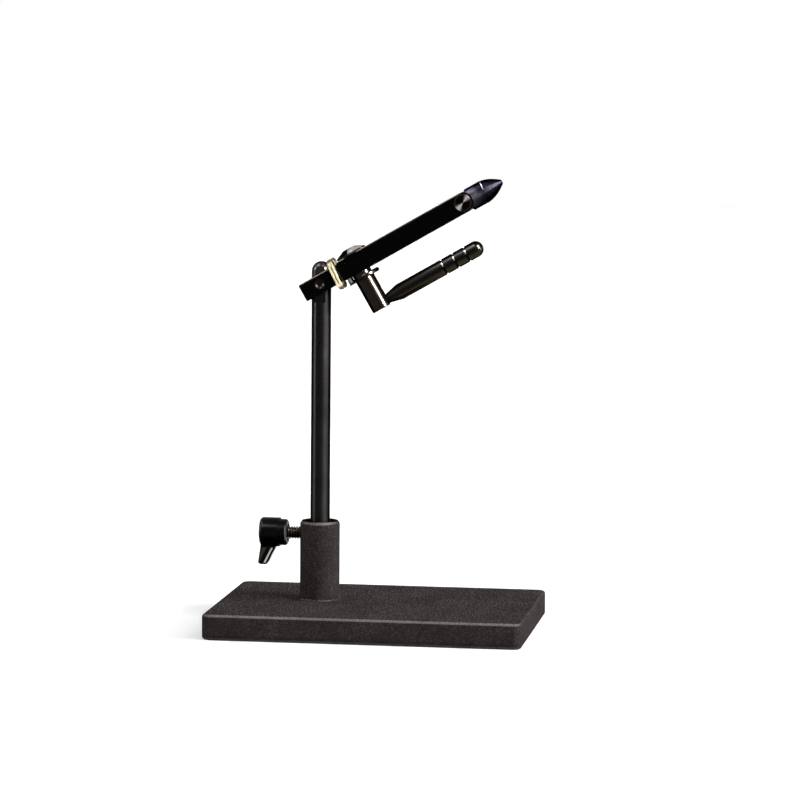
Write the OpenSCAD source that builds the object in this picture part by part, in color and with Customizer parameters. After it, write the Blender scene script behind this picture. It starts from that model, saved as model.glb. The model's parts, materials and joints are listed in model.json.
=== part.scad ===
// Fly tying vise on a pedestal base.
// Frame: origin under the middle of the base, Z up, X along the base towards the jaws,
// and Y away from the person who ties. All sizes are in millimetres.

/* [Base plate] */
// Length of the base plate along X
base_length = 154; // [120:1:200]
// Width of the base plate along Y
base_width = 112; // [90:1:150]
// Thickness of the base plate
base_thickness = 12.5; // [10:0.5:20]
// Radius of the upright corners
base_corner_r = 2.2; // [0.5:0.1:6]
// Radius of the top edges
base_edge_r = 0.9; // [0.3:0.1:2]
// Chamfer of the bottom edges
base_bottom_chamfer = 0.5; // [0.2:0.1:1.5]

/* [Stem socket] */
// Distance of the stem from the middle of the base, to the left
socket_offset = 29.2; // [0:0.1:45]
// Distance of the stem from the middle of the base, to the back
socket_setback = 4; // [0:0.1:20]
// Outer diameter of the socket tube
socket_diameter = 19.4; // [18.5:0.1:30]
// Height of the socket tube above the base
socket_height = 38.8; // [30:0.1:60]
// Radius of the outer rim of the tube
socket_rim_r = 0.8; // [0.3:0.1:1]
// Bore of the socket tube
socket_bore = 12.7; // [12.1:0.1:13.4]
// Diameter of the recess in the top of the tube, where the bush flange lies
recess_diameter = 17.2; // [15:0.1:17.6]
// Depth of that recess
recess_depth = 1.9; // [1.2:0.1:4]
// Diameter of the spigot that is let into the base
spigot_diameter = 16; // [14.5:0.1:18]
// Length of the spigot
spigot_length = 6; // [3:0.1:8]
// Leg of the weld bead round the foot of the tube
weld_leg = 0.9; // [0.4:0.1:3]

/* [Bush] */
// Thickness of the flange of the bush
bush_flange_thickness = 1.3; // [0.8:0.1:3]

/* [Stem] */
// Diameter of the stem, a 3/8 inch rod
stem_diameter = 9.525; // [8:0.025:10.5]
// Height of the round top of the stem above the base plate
stem_rise = 165.9; // [140:0.1:260]
// Depth of the tilt pivot below the round top
pivot_drop = 10.8; // [9:0.1:14]
// Width across the two flats at the top of the stem
stem_flats = 7.94; // [6:0.02:8.2]
// Depth of the hollow below the foot of the stem
stem_foot_gap = 2.6; // [1:0.1:6]

/* [Thumb screw] */
// Distance of the screw's axis below the rim of the tube
screw_drop = 6.3; // [5:0.1:12]
// Outer diameter of the 1/4 inch thread
screw_diameter = 6.35; // [4:0.05:8]
// Distance from the stem's axis to the inner face of the knob
knob_reach = 15.9; // [14.5:0.1:24]
// Length of the knob
knob_length = 13.7; // [11:0.1:20]
// Diameter of the outer part of the knob
knob_diameter = 14.3; // [13:0.1:20]
// Diameter of the inner part of the knob
knob_neck_diameter = 12.9; // [11.5:0.1:13]
// Length of the inner part of the knob
knob_neck_length = 3.5; // [2:0.1:6]
// Reach of the wing from the knob's axis
wing_reach = 16; // [11:0.1:22]
// Width of the wing at its root
wing_root = 7.6; // [5:0.1:9]
// Width of the wing at its tip
wing_tip = 4.9; // [3:0.1:5]
// Thickness of the wing at its root
wing_thickness = 5.6; // [3:0.1:7]

/* [Head block] */
// Tilt of the head above the level
head_tilt = 30; // [0:1:45]
// Greatest tilt that the slot leaves room for
tilt_max = 45; // [45:1:47]
// Height of the block
block_height = 8.8; // [8:0.1:10]
// Width of the head across the block and the arms
head_width = 12.7; // [12.2:0.1:15]
// Length of the block behind the pivot
block_tail = 9.6; // [8:0.1:14]
// Distance from the pivot to the shoulder where the arms begin
shoulder_reach = 11.2; // [11.2:0.1:12]
// Chamfer of the edges of the block and the arms
edge_chamfer = 0.4; // [0.2:0.05:0.8]
// Diameter of the head of the pivot screw
pivot_head_diameter = 5.3; // [4.5:0.1:6.5]
// Diameter of the shank of the pivot screw
pivot_shank_diameter = 3.5; // [2.5:0.1:4]

/* [Arms] */
// Height of the arms
arm_height = 9.9; // [9:0.1:12]
// Width of the slot between the arms
arm_slot = 4.8; // [4:0.1:5.2]
// Height of the middle of the arms above the axis of the jaws
arm_rise = 0.25; // [0:0.05:0.4]
// Distance from the pivot to the middle of the jaw pins
jaw_pin_reach = 80.6; // [60:0.1:110]
// Opening of each arm at the end of the lever's swing, in degrees
arm_open = 1.2; // [0.4:0.1:1.6]

/* [Cam shaft] */
// Distance from the pivot to the axis of the cam shaft
cam_reach = 19.9; // [19.5:0.1:24]
// Smallest radius of the cam
cam_r = 3.2; // [2.8:0.05:3.4]
// Swing of the lever from shut to open, in degrees
lever_swing = 80; // [45:1:90]
// Diameter of the barrel below the arms
barrel_diameter = 9.8; // [9:0.1:12]
// Depth of the barrel's lower end below the axis of the jaws
barrel_depth = 25.3; // [23:0.1:34]
// Diameter of the flange at the top of the barrel
flange_diameter = 16.7; // [16:0.1:18]
// Thickness of that flange
flange_thickness = 1.9; // [1.6:0.1:3]
// Thickness of the thrust washer between the flange and the arms
washer_thickness = 1.55; // [0.8:0.05:3]
// Diameter of the cap nut on top of the shaft
cap_diameter = 16.4; // [12:0.1:18]
// Diameter of the flat top of the cap nut
cap_top_diameter = 6.6; // [4:0.1:8]
// Height of the cap nut
cap_height = 3.1; // [2:0.1:6]
// Diameter of the stop pin
stop_pin_diameter = 3; // [2:0.1:3.1]

/* [Lever] */
// Depth of the lever's axis below the axis of the jaws
lever_drop = 22.25; // [16:0.05:23]
// Length of the lever
lever_length = 53.8; // [30:0.1:80]
// Diameter of the lever
lever_diameter = 7.94; // [6.5:0.02:9.5]
// Diameter of the lever's narrow end
lever_neck_diameter = 4.45; // [4:0.05:6]
// Length of the lever's taper
lever_taper = 7.4; // [3:0.1:12]
// Distance between the grip grooves
groove_pitch = 6.35; // [4:0.05:8]
// Number of grip grooves
groove_count = 3; // [1:1:4]
// Distance from the lever's round end to the last groove
groove_setback = 8.7; // [6:0.1:12]
// Width of a groove
groove_width = 1.1; // [0.5:0.05:2]
// Depth of a groove
groove_depth = 0.55; // [0.2:0.05:1]

/* [Jaws] */
// Diameter of the jaws
jaw_diameter = 11.3; // [11:0.1:13]
// Distance from the jaw pins to the rear face of the jaws
jaw_shoulder = 2.4; // [2:0.1:6]
// Length of the round part, from the rear face to the ring groove
jaw_round = 9.2; // [6:0.1:16]
// Length of the nose in front of the ring groove
jaw_nose = 9.2; // [6:0.1:16]
// Diameter of the blunt tip
jaw_tip_diameter = 2.8; // [1.6:0.1:5]
// Width of the ring groove
ring_width = 0.5; // [0.2:0.05:1]
// Depth of the ring groove
ring_depth = 0.25; // [0.1:0.05:0.5]
// Gap between the shut jaws
jaw_gap = 0.3; // [0.2:0.05:0.8]
// Diameter of the round face of the jaw pins
jaw_pin_diameter = 8.5; // [6:0.1:8.8]

/* [Rubber band] */
// Thickness of one strand of the doubled band
band_thickness = 1.34; // [1:0.02:1.6]
// Clear space between the two strands
band_strand_gap = 0.46; // [0.42:0.01:0.8]
// Distance from the pivot to the middle of the band
band_reach = 8.9; // [8:0.1:9]
// Half of the band's height, to the middle of the strand
band_half_height = 7.2; // [6.6:0.1:8]
// Half of the band's width, to the middle of the strand
band_half_width = 7.7; // [7.6:0.1:9]
// Height of the middle of the band above the axis of the jaws
band_rise = 0.35; // [0:0.05:0.5]
// Lean of the band, in degrees
band_lean = 4; // [0:0.5:6]

/* [Hidden] */

$fn = 96;

// Clearances: a shaft in its bore, a seat of two fixed pieces, and pieces that pass each other
run_gap = 0.05;
seat_gap = 0.02;
pass_gap = 0.15;
// Every cut runs past the faces that it breaks by this much
overrun = 1;

// Places in the part's frame
stem_x = -socket_offset;
stem_y = socket_setback;
stem_r = stem_diameter / 2;
stem_top_z = base_thickness + stem_rise;
pivot_z = stem_top_z - pivot_drop;
socket_top_z = base_thickness + socket_height;
pocket_floor_z = base_thickness - spigot_length - seat_gap;
screw_z = socket_top_z - screw_drop;

// Bush
bush_r = socket_bore / 2 - run_gap;
bush_bore_r = stem_r + run_gap;
bush_top_z = socket_top_z - recess_depth + run_gap + bush_flange_thickness;
bush_flange_r = recess_diameter / 2 - pass_gap;
bush_lead = bush_flange_thickness / 3;

// Stem
stem_foot_z = pocket_floor_z + stem_foot_gap;
stem_foot_chamfer = stem_r / 6;
// The flats reach as low as the block sweeps, at level and at its greatest tilt
flat_half_width = sqrt(stem_r * stem_r - stem_flats * stem_flats / 4);
flat_drop = block_height / 2 / cos(tilt_max) + flat_half_width * tan(tilt_max) + 3 * pass_gap;

// Thumb screw
screw_r = screw_diameter / 2;
screw_tip = bush_r + 2 * run_gap;
screw_tip_chamfer = screw_r / 4;
knob_r = knob_diameter / 2;
knob_neck_r = knob_neck_diameter / 2;
knob_round = knob_r / 4;
knob_chamfer = knob_neck_r / 8;
knob_recess_r = knob_neck_r * 0.7;
knob_recess_depth = knob_neck_length * 0.6;
insert_r = (screw_r + knob_recess_r) / 2;
insert_length = knob_length * 0.6;
screw_length = knob_reach + insert_length - screw_tip;
wing_bevel = wing_tip / 5;

// Head block, in the head's own frame: X to the jaws, Z up across the arms, origin at the pivot
head_r = head_width / 2;
slot_half = stem_flats / 2 + run_gap;
cheek = head_r - slot_half;
slot_near = stem_r + pass_gap;
slot_far = slot_near / cos(tilt_max);
pivot_head_r = pivot_head_diameter / 2;
pivot_shank_r = pivot_shank_diameter / 2;
pivot_head_height = cheek * 0.55;
pivot_head_sunk = cheek * 0.1;
pivot_socket_af = pivot_head_diameter * 0.45;
tongue_end = cam_reach - cam_r - 3 * pass_gap;
tongue_length = tongue_end - shoulder_reach;
tongue_half = arm_slot / 2 - seat_gap;

// Arms
arm_start = shoulder_reach + pass_gap;
arm_thickness = head_r - arm_slot / 2;
arm_low = arm_rise - arm_height / 2;
arm_high = arm_rise + arm_height / 2;
arm_ramp = arm_height / 6;
arm_end_r = arm_height / 2;
hinge_reach = cam_reach - arm_start;
cam_lift = hinge_reach * tan(arm_open);
cam_seat_r = cam_r + run_gap;
cam_groove_r = cam_seat_r * 1.12;

// Rivets and stop pin
rivet_r = tongue_length / 5;
rivet_clear = 2 * run_gap;
rivet_z = block_height / 4;
rivet_x = [shoulder_reach + tongue_length * 0.29, shoulder_reach + tongue_length * 0.75];
stop_r = stop_pin_diameter / 2;
stop_x = cam_reach - barrel_diameter / 2 - stop_r - pass_gap;
stop_top = rivet_z - rivet_r - pass_gap;
stop_arm = cam_reach - stop_x;

// Shaft, washer, flange and barrel
barrel_r = barrel_diameter / 2;
washer_top = arm_low - run_gap;
flange_top = washer_top - washer_thickness - seat_gap;
flange_low = flange_top - flange_thickness;
flange_r = flange_diameter / 2;
barrel_chamfer = barrel_r / 10;
shaft_r = cam_r - seat_gap;
shaft_depth = flange_low - shaft_r;
notch_depth = flange_thickness * 0.7;
notch_margin = asin((stop_r + pass_gap) / stop_arm);
cap_low = arm_high + run_gap;
cap_r = cap_diameter / 2;
cap_land = cap_height / 4;
cap_socket_af = cap_top_diameter * 0.5;
shaft_top = cap_low + cap_height / 2;

// Lever
lever_r = lever_diameter / 2;
lever_neck_r = lever_neck_diameter / 2;
lever_seat = sqrt(barrel_r * barrel_r - lever_neck_r * lever_neck_r) - seat_gap;
lever_stud_r = lever_neck_r * 0.65;
lever_stud_in = lever_seat * 0.7;
lever_stud_out = lever_taper;

// Jaws
jaw_r = jaw_diameter / 2;
jaw_rear = jaw_pin_reach + jaw_shoulder;
ring_x = jaw_rear + jaw_round;
jaw_tip_x = ring_x + jaw_nose;
jaw_tip_r = jaw_tip_diameter / 2;
jaw_chamfer = jaw_r / 12;
tongue_r = arm_height * 0.45;
jaw_pin_r = jaw_pin_diameter / 2;
jaw_pin_sunk = run_gap;
jaw_pin_head = arm_thickness * 0.6;
jaw_pin_shank_r = jaw_pin_r * 0.6;
jaw_pin_tip = jaw_gap / 2 + 2 * run_gap;
hook_groove_r = jaw_tip_r / 3;
hook_groove_x = jaw_tip_x - jaw_tip_diameter;

// Rubber band
band_r = band_thickness / 2;
band_pitch = band_thickness + band_strand_gap;
band_rings = 30;
band_sides = 6;
band_cross_rise = band_pitch / 2 - run_gap;
// Where on the way round the strands begin to change places, and over how much of it, in degrees
band_swap_start = 100;
band_swap_span = 160;

// Places

module at_stem(height) {
    translate([stem_x, stem_y, height]) children();
}

// The thumb screw's axis runs out to the left from the stem's axis
module on_screw() {
    at_stem(screw_z) rotate([0, -90, 0]) children();
}

module on_head() {
    at_stem(pivot_z) rotate([0, -head_tilt, 0]) children();
}

// Shared shapes

// A prism whose XZ outline is extruded along Y between two planes
module side_prism(y_low, y_high) {
    translate([0, y_high, 0])
        rotate([90, 0, 0])
            linear_extrude(y_high - y_low) children();
}

// A rectangle with its corners cut off at 45 degrees
module cut_rectangle(x_low, x_high, y_low, y_high, cut) {
    polygon([
        [x_low + cut, y_low], [x_high - cut, y_low], [x_high, y_low + cut], [x_high, y_high - cut],
        [x_high - cut, y_high], [x_low + cut, y_high], [x_low, y_high - cut], [x_low, y_low + cut]
    ]);
}

module round_rectangle(length, width, r) {
    square([length - 2 * r, width], center = true);
    square([length, width - 2 * r], center = true);
    for (x = [-1, 1], y = [-1, 1])
        translate([x * (length / 2 - r), y * (width / 2 - r)]) circle(r);
}

// The section of the base across one side: round top edges and cut bottom edges
module base_section(length) {
    half = length / 2;
    translate([-half + base_edge_r, 0]) square([length - 2 * base_edge_r, base_thickness]);
    polygon([
        [-half + base_bottom_chamfer, 0], [half - base_bottom_chamfer, 0],
        [half, base_bottom_chamfer], [half, base_thickness - base_edge_r],
        [-half, base_thickness - base_edge_r], [-half, base_bottom_chamfer]
    ]);
    for (x = [-1, 1])
        translate([x * (half - base_edge_r), base_thickness - base_edge_r]) circle(base_edge_r);
}

// A cylinder with a cone cut on both ends
module chamfered_rod(r, z_low, z_high, cut) {
    rotate_extrude()
        polygon([
            [0, z_low], [r - cut, z_low], [r, z_low + cut],
            [r, z_high - cut], [r - cut, z_high], [0, z_high]
        ]);
}

module tube(r_out, r_in, z_low, z_high) {
    rotate_extrude()
        translate([r_in, z_low]) square([r_out - r_in, z_high - z_low]);
}

module hexagon_socket(af, depth) {
    cylinder(d = af / cos(30), h = depth, $fn = 6);
}

// Stand

module base_plate() {
    color([0.13, 0.12, 0.12])
        difference() {
            intersection() {
                linear_extrude(base_thickness) round_rectangle(base_length, base_width, base_corner_r);
                side_prism(-base_width / 2, base_width / 2) base_section(base_length);
                rotate([0, 0, 90])
                    side_prism(-base_length / 2, base_length / 2) base_section(base_width);
            }
            at_stem(pocket_floor_z)
                cylinder(r = spigot_diameter / 2 + seat_gap, h = spigot_length + overrun);
        }
}

module socket_tube() {
    socket_r = socket_diameter / 2;
    low = -spigot_length;
    color([0.14, 0.13, 0.13])
        at_stem(base_thickness)
            difference() {
                rotate_extrude() {
                    translate([0, low]) square([spigot_diameter / 2, spigot_length + weld_leg]);
                    square([socket_r, socket_height - socket_rim_r]);
                    square([socket_r - socket_rim_r, socket_height]);
                    translate([socket_r - socket_rim_r, socket_height - socket_rim_r])
                        circle(socket_rim_r);
                }
                translate([0, 0, low - overrun])
                    cylinder(d = socket_bore, h = spigot_length + socket_height + 2 * overrun);
                translate([0, 0, socket_height - recess_depth])
                    cylinder(d = recess_diameter, h = recess_depth + overrun);
                translate([0, 0, screw_z - base_thickness])
                    rotate([0, -90, 0])
                        cylinder(r = screw_r + run_gap, h = socket_diameter);
            }
}

// A bead with a hollow face between the tube and the base
module foot_weld() {
    socket_r = socket_diameter / 2;
    color([0.2, 0.19, 0.19])
        at_stem(base_thickness)
            rotate_extrude()
                difference() {
                    translate([socket_r, 0]) square(weld_leg);
                    translate([socket_r + weld_leg, weld_leg]) circle(weld_leg * 0.9);
                }
}

module stem_bush() {
    color([0.03, 0.03, 0.03])
        at_stem(0)
            rotate_extrude()
                polygon([
                    [bush_bore_r, pocket_floor_z + run_gap],
                    [bush_r, pocket_floor_z + run_gap],
                    [bush_r, bush_top_z - bush_flange_thickness],
                    [bush_flange_r, bush_top_z - bush_flange_thickness],
                    [bush_flange_r, bush_top_z - bush_lead],
                    [bush_flange_r - bush_lead, bush_top_z],
                    [bush_bore_r + bush_lead, bush_top_z],
                    [bush_bore_r, bush_top_z - bush_lead]
                ]);
}

module thumb_screw_stud() {
    color([0.16, 0.15, 0.14])
        on_screw() chamfered_rod(screw_r, screw_tip, screw_tip + screw_length, screw_tip_chamfer);
}

// The knob's body, turned, with the single wing hanging from its outer part
module thumb_knob() {
    outer = knob_reach + knob_length;
    step = knob_reach + knob_neck_length;
    color([0.05, 0.05, 0.05])
        on_screw()
            difference() {
                union() {
                    rotate_extrude() {
                        polygon([
                            [0, knob_reach], [knob_neck_r - knob_chamfer, knob_reach],
                            [knob_neck_r, knob_reach + knob_chamfer], [knob_neck_r, step],
                            [knob_r, step + knob_chamfer / 2], [knob_r, outer - knob_round],
                            [0, outer - knob_round]
                        ]);
                        translate([0, outer - knob_round - overrun])
                            square([knob_r - knob_round, knob_round + overrun]);
                        translate([knob_r - knob_round, outer - knob_round])
                            intersection() {
                                circle(knob_round);
                                square(knob_round);
                            }
                    }
                    thumb_wing(outer);
                }
                translate([0, 0, knob_reach - overrun])
                    cylinder(r = knob_recess_r, h = knob_recess_depth + overrun);
                translate([0, 0, knob_reach])
                    cylinder(r = insert_r + seat_gap, h = insert_length + seat_gap);
            }
}

// One tapered wing: its outline across the knob's axis meets its outline along the axis
module thumb_wing(outer) {
    root_low = outer - knob_round / 4 - wing_root;
    lean = knob_chamfer;
    intersection() {
        side_prism(-wing_thickness / 2, wing_thickness / 2)
            polygon([
                [0, root_low], [0, root_low + wing_root],
                [-knob_r, root_low + wing_root],
                [-wing_reach + wing_bevel, outer + lean],
                [-wing_reach, outer + lean - wing_bevel],
                [-wing_reach, outer + lean - wing_tip + wing_bevel],
                [-wing_reach + wing_bevel, outer + lean - wing_tip],
                [-knob_r, root_low]
            ]);
        translate([0, 0, root_low - overrun])
            linear_extrude(knob_length + 2 * overrun)
                polygon([
                    [0, -wing_thickness / 2], [0, wing_thickness / 2],
                    [-wing_reach + wing_bevel, wing_tip / 2], [-wing_reach, wing_tip / 2 - wing_bevel],
                    [-wing_reach, -wing_tip / 2 + wing_bevel], [-wing_reach + wing_bevel, -wing_tip / 2]
                ]);
    }
}

module knob_insert() {
    low = knob_reach + knob_recess_depth / 2;
    color([0.55, 0.52, 0.45])
        on_screw() tube(insert_r, screw_r + seat_gap, low, knob_reach + insert_length);
}

// Stem

module stem() {
    color([0.12, 0.11, 0.11])
        at_stem(0)
            difference() {
                rotate_extrude() {
                    polygon([
                        [0, stem_foot_z], [stem_r - stem_foot_chamfer, stem_foot_z],
                        [stem_r, stem_foot_z + stem_foot_chamfer], [stem_r, stem_top_z - stem_r],
                        [0, stem_top_z - stem_r]
                    ]);
                    translate([0, stem_top_z - stem_r])
                        intersection() {
                            circle(stem_r);
                            square(stem_r);
                        }
                }
                for (side = [-1, 1])
                    translate([-stem_r - overrun, side * (stem_flats + stem_diameter) / 2 - stem_r,
                               pivot_z - flat_drop])
                        cube([stem_diameter + 2 * overrun, stem_diameter, flat_drop + pivot_drop + overrun]);
                translate([0, stem_r + overrun, pivot_z])
                    rotate([90, 0, 0])
                        cylinder(r = pivot_shank_r + run_gap, h = stem_diameter + 2 * overrun);
            }
}

// Head block: a fork over the stem's flats and a tongue between the arms

module head_block() {
    color([0.07, 0.07, 0.07])
        on_head()
            difference() {
                union() {
                    fork_body();
                    tongue();
                }
                side_prism(-slot_half, slot_half)
                    polygon([
                        [-block_tail - overrun, -block_height],
                        [slot_near, -block_height],
                        [slot_near, (slot_near - slot_far) / tan(tilt_max)],
                        [slot_far + block_height * tan(tilt_max), block_height],
                        [-block_tail - overrun, block_height]
                    ]);
                rotate([90, 0, 0]) {
                    translate([0, 0, head_r - pivot_head_height - pivot_head_sunk])
                        cylinder(r = pivot_head_r + pass_gap, h = head_r);
                    translate([0, 0, -head_r - overrun])
                        cylinder(r = pivot_shank_r + seat_gap, h = head_width + 2 * overrun);
                }
                rivet_cuts(rivet_r + seat_gap);
                translate([stop_x, 0, -block_height])
                    cylinder(r = stop_r + seat_gap, h = block_height + stop_top);
            }
}

// The outlines from the side, from above and from the end, each with its edges cut
module fork_body() {
    high = block_height / 2;
    length = block_tail + shoulder_reach;
    intersection() {
        side_prism(-head_r, head_r)
            cut_rectangle(-block_tail, shoulder_reach, -high, high, edge_chamfer);
        translate([0, 0, -high])
            linear_extrude(block_height)
                cut_rectangle(-block_tail, shoulder_reach, -head_r, head_r, edge_chamfer);
        translate([-block_tail, 0, 0])
            rotate([90, 0, 90])
                linear_extrude(length) cut_rectangle(-head_r, head_r, -high, high, edge_chamfer);
    }
}

module tongue() {
    high = block_height / 2;
    side_prism(-tongue_half, tongue_half)
        polygon([
            [shoulder_reach - edge_chamfer, -high], [tongue_end - edge_chamfer, -high],
            [tongue_end, -high + edge_chamfer], [tongue_end, high - edge_chamfer],
            [tongue_end - edge_chamfer, high], [shoulder_reach - edge_chamfer, high]
        ]);
}

module rivet_cuts(r) {
    for (x = rivet_x)
        translate([x, head_r + overrun, rivet_z])
            rotate([90, 0, 0]) cylinder(r = r, h = head_width + 2 * overrun);
}

// Low cap screw, sunk in the near cheek and tapped into the far one
module pivot_screw() {
    head_face = head_r - pivot_head_sunk;
    color([0.12, 0.12, 0.12])
        on_head()
            rotate([90, 0, 0])
                difference() {
                    union() {
                        chamfered_rod(pivot_head_r, head_face - pivot_head_height, head_face,
                                      pivot_head_sunk);
                        translate([0, 0, -head_r + pivot_head_sunk])
                            cylinder(r = pivot_shank_r, h = head_width - 2 * pivot_head_sunk
                                     - pivot_head_height / 2);
                    }
                    translate([0, 0, head_face - pivot_head_height * 0.8])
                        hexagon_socket(pivot_socket_af, pivot_head_height);
                }
}

module arm_rivets() {
    color([0.1, 0.1, 0.1])
        on_head()
            for (x = rivet_x)
                translate([x, 0, rivet_z])
                    rotate([90, 0, 0])
                        chamfered_rod(rivet_r, -head_r + run_gap, head_r - run_gap, run_gap);
}

// The dowel that runs in the notch of the flange and ends the lever's swing
module stop_pin() {
    low = flange_top - notch_depth + pass_gap;
    color([0.62, 0.64, 0.6])
        on_head()
            translate([stop_x, 0, 0]) chamfered_rod(stop_r, low, stop_top - seat_gap, stop_r / 8);
}

// Arms

// Side outline of an arm: ramp at the rear, round end at the jaw pin
module arm_outline() {
    polygon([
        [arm_start, arm_low + edge_chamfer], [arm_start + edge_chamfer, arm_low],
        [jaw_pin_reach, arm_low], [jaw_pin_reach, arm_high],
        [arm_start + arm_ramp, arm_high], [arm_start, arm_high - arm_ramp]
    ]);
    translate([jaw_pin_reach, arm_rise]) circle(arm_end_r);
}

// The arm on the far side of the split plane, at Y above zero
module arm() {
    inner = arm_slot / 2;
    difference() {
        intersection() {
            side_prism(inner, head_r) arm_outline();
            rotate([90, 0, 90])
                linear_extrude(jaw_pin_reach + arm_end_r)
                    polygon([
                        [inner, arm_low], [head_r - edge_chamfer, arm_low],
                        [head_r, arm_low + edge_chamfer], [head_r, arm_high - edge_chamfer],
                        [head_r - edge_chamfer, arm_high], [inner, arm_high]
                    ]);
        }
        translate([cam_reach, cam_seat_r - cam_groove_r, arm_low - overrun])
            cylinder(r = cam_groove_r, h = arm_height + 2 * overrun);
        rivet_cuts(rivet_r + rivet_clear);
        translate([jaw_pin_reach, head_r + overrun, arm_rise])
            rotate([90, 0, 0]) {
                cylinder(r = jaw_pin_r + seat_gap, h = jaw_pin_head + jaw_pin_sunk + overrun);
                cylinder(r = jaw_pin_shank_r + seat_gap, h = head_r + overrun);
            }
    }
}

// Half of the round jaws, with the tongue that lies against the inner face of the arm
module jaw() {
    split = jaw_gap / 2;
    difference() {
        union() {
            intersection() {
                rotate([0, 90, 0]) rotate_extrude() jaw_profile();
                translate([0, split, -jaw_diameter])
                    cube([jaw_tip_x + overrun, jaw_diameter, 2 * jaw_diameter]);
            }
            side_prism(split, arm_slot / 2)
                polygon([
                    [jaw_pin_reach, arm_rise - tongue_r], [jaw_rear + edge_chamfer, arm_rise - tongue_r],
                    [jaw_rear + edge_chamfer, arm_rise + tongue_r], [jaw_pin_reach, arm_rise + tongue_r]
                ]);
            side_prism(split, arm_slot / 2)
                translate([jaw_pin_reach, arm_rise]) circle(tongue_r);
        }
        side_prism(arm_slot / 2, jaw_diameter)
            translate([jaw_pin_reach, arm_rise]) circle(arm_end_r + seat_gap);
        translate([jaw_pin_reach, jaw_diameter, arm_rise])
            rotate([90, 0, 0])
                cylinder(r = jaw_pin_shank_r + seat_gap, h = jaw_diameter - jaw_pin_tip + seat_gap);
        translate([hook_groove_x, 0, -jaw_diameter])
            cylinder(r = hook_groove_r, h = 2 * jaw_diameter);
    }
}

// Radius of the jaws against the distance along their axis; the nose is a shallow arc
module jaw_profile() {
    nose_steps = 6;
    bulge = jaw_r / 9;
    polygon(concat(
        [[0, jaw_rear], [jaw_r - jaw_chamfer, jaw_rear], [jaw_r, jaw_rear + jaw_chamfer],
         [jaw_r, ring_x - ring_width / 2], [jaw_r - ring_depth, ring_x - ring_width / 4],
         [jaw_r - ring_depth, ring_x + ring_width / 4]],
        [for (i = [0 : nose_steps])
            let (share = i / nose_steps)
            [jaw_r - ring_depth / 2 + (jaw_tip_r - jaw_r + ring_depth / 2) * share
                + bulge * sin(180 * share),
             ring_x + ring_width / 2 + (jaw_nose - ring_width / 2 - jaw_tip_r / 3) * share]],
        [[jaw_tip_r * 0.7, jaw_tip_x], [0, jaw_tip_x]]
    ));
}

module jaw_pin() {
    face = head_r - jaw_pin_sunk;
    translate([jaw_pin_reach, 0, arm_rise])
        rotate([-90, 0, 0]) {
            chamfered_rod(jaw_pin_r, face - jaw_pin_head, face, run_gap);
            translate([0, 0, jaw_pin_tip])
                cylinder(r = jaw_pin_shank_r, h = face - jaw_pin_tip - jaw_pin_head / 2);
        }
}

module far_arm() {
    color([0.07, 0.07, 0.07]) on_head() arm();
}

module far_jaw() {
    color([0.25, 0.24, 0.28]) on_head() jaw();
}

module far_jaw_pin() {
    color([0.45, 0.44, 0.43]) on_head() jaw_pin();
}

module near_arm() {
    color([0.07, 0.07, 0.07]) on_head() mirror([0, 1, 0]) arm();
}

module near_jaw() {
    color([0.25, 0.24, 0.28]) on_head() mirror([0, 1, 0]) jaw();
}

module near_jaw_pin() {
    color([0.45, 0.44, 0.43]) on_head() mirror([0, 1, 0]) jaw_pin();
}

// Cam shaft and what turns with it

// How far the arms are opened, from 0 to 1, when the lever stands at an angle; it rises evenly
// over the swing and falls back in a smooth wave over the rest of the half turn
function cam_share(angle) =
    let (a = (angle % 180 + 180) % 180)
    a <= lever_swing ? a / lever_swing
        : (1 + cos(180 * (a - lever_swing) / (180 - lever_swing))) / 2;

// Distance from the shaft's axis to the line that touches the cam square to a direction
function cam_reach_at(angle) = cam_r + cam_lift * cam_share(angle - 90);

function cam_point(angle) =
    let (
        step = 1,
        h = cam_reach_at(angle),
        slope = (cam_reach_at(angle + step) - cam_reach_at(angle - step)) / (2 * step) * 180 / PI
    )
    [h * cos(angle) - slope * sin(angle), h * sin(angle) + slope * cos(angle)];

module cam_shaft() {
    cam_steps = 90;
    color([0.3, 0.3, 0.32])
        on_head()
            translate([cam_reach, 0, 0]) {
                translate([0, 0, arm_low])
                    linear_extrude(arm_height)
                        polygon([for (i = [0 : cam_steps - 1]) cam_point(360 * i / cam_steps)]);
                translate([0, 0, shaft_depth]) cylinder(r = shaft_r, h = arm_low - shaft_depth);
                translate([0, 0, arm_high]) cylinder(r = shaft_r, h = shaft_top - arm_high);
            }
}

module thrust_washer() {
    color([0.66, 0.68, 0.64])
        on_head()
            translate([cam_reach, 0, 0])
                tube(barrel_r - run_gap, shaft_r + seat_gap, washer_top - washer_thickness, washer_top);
}

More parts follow.
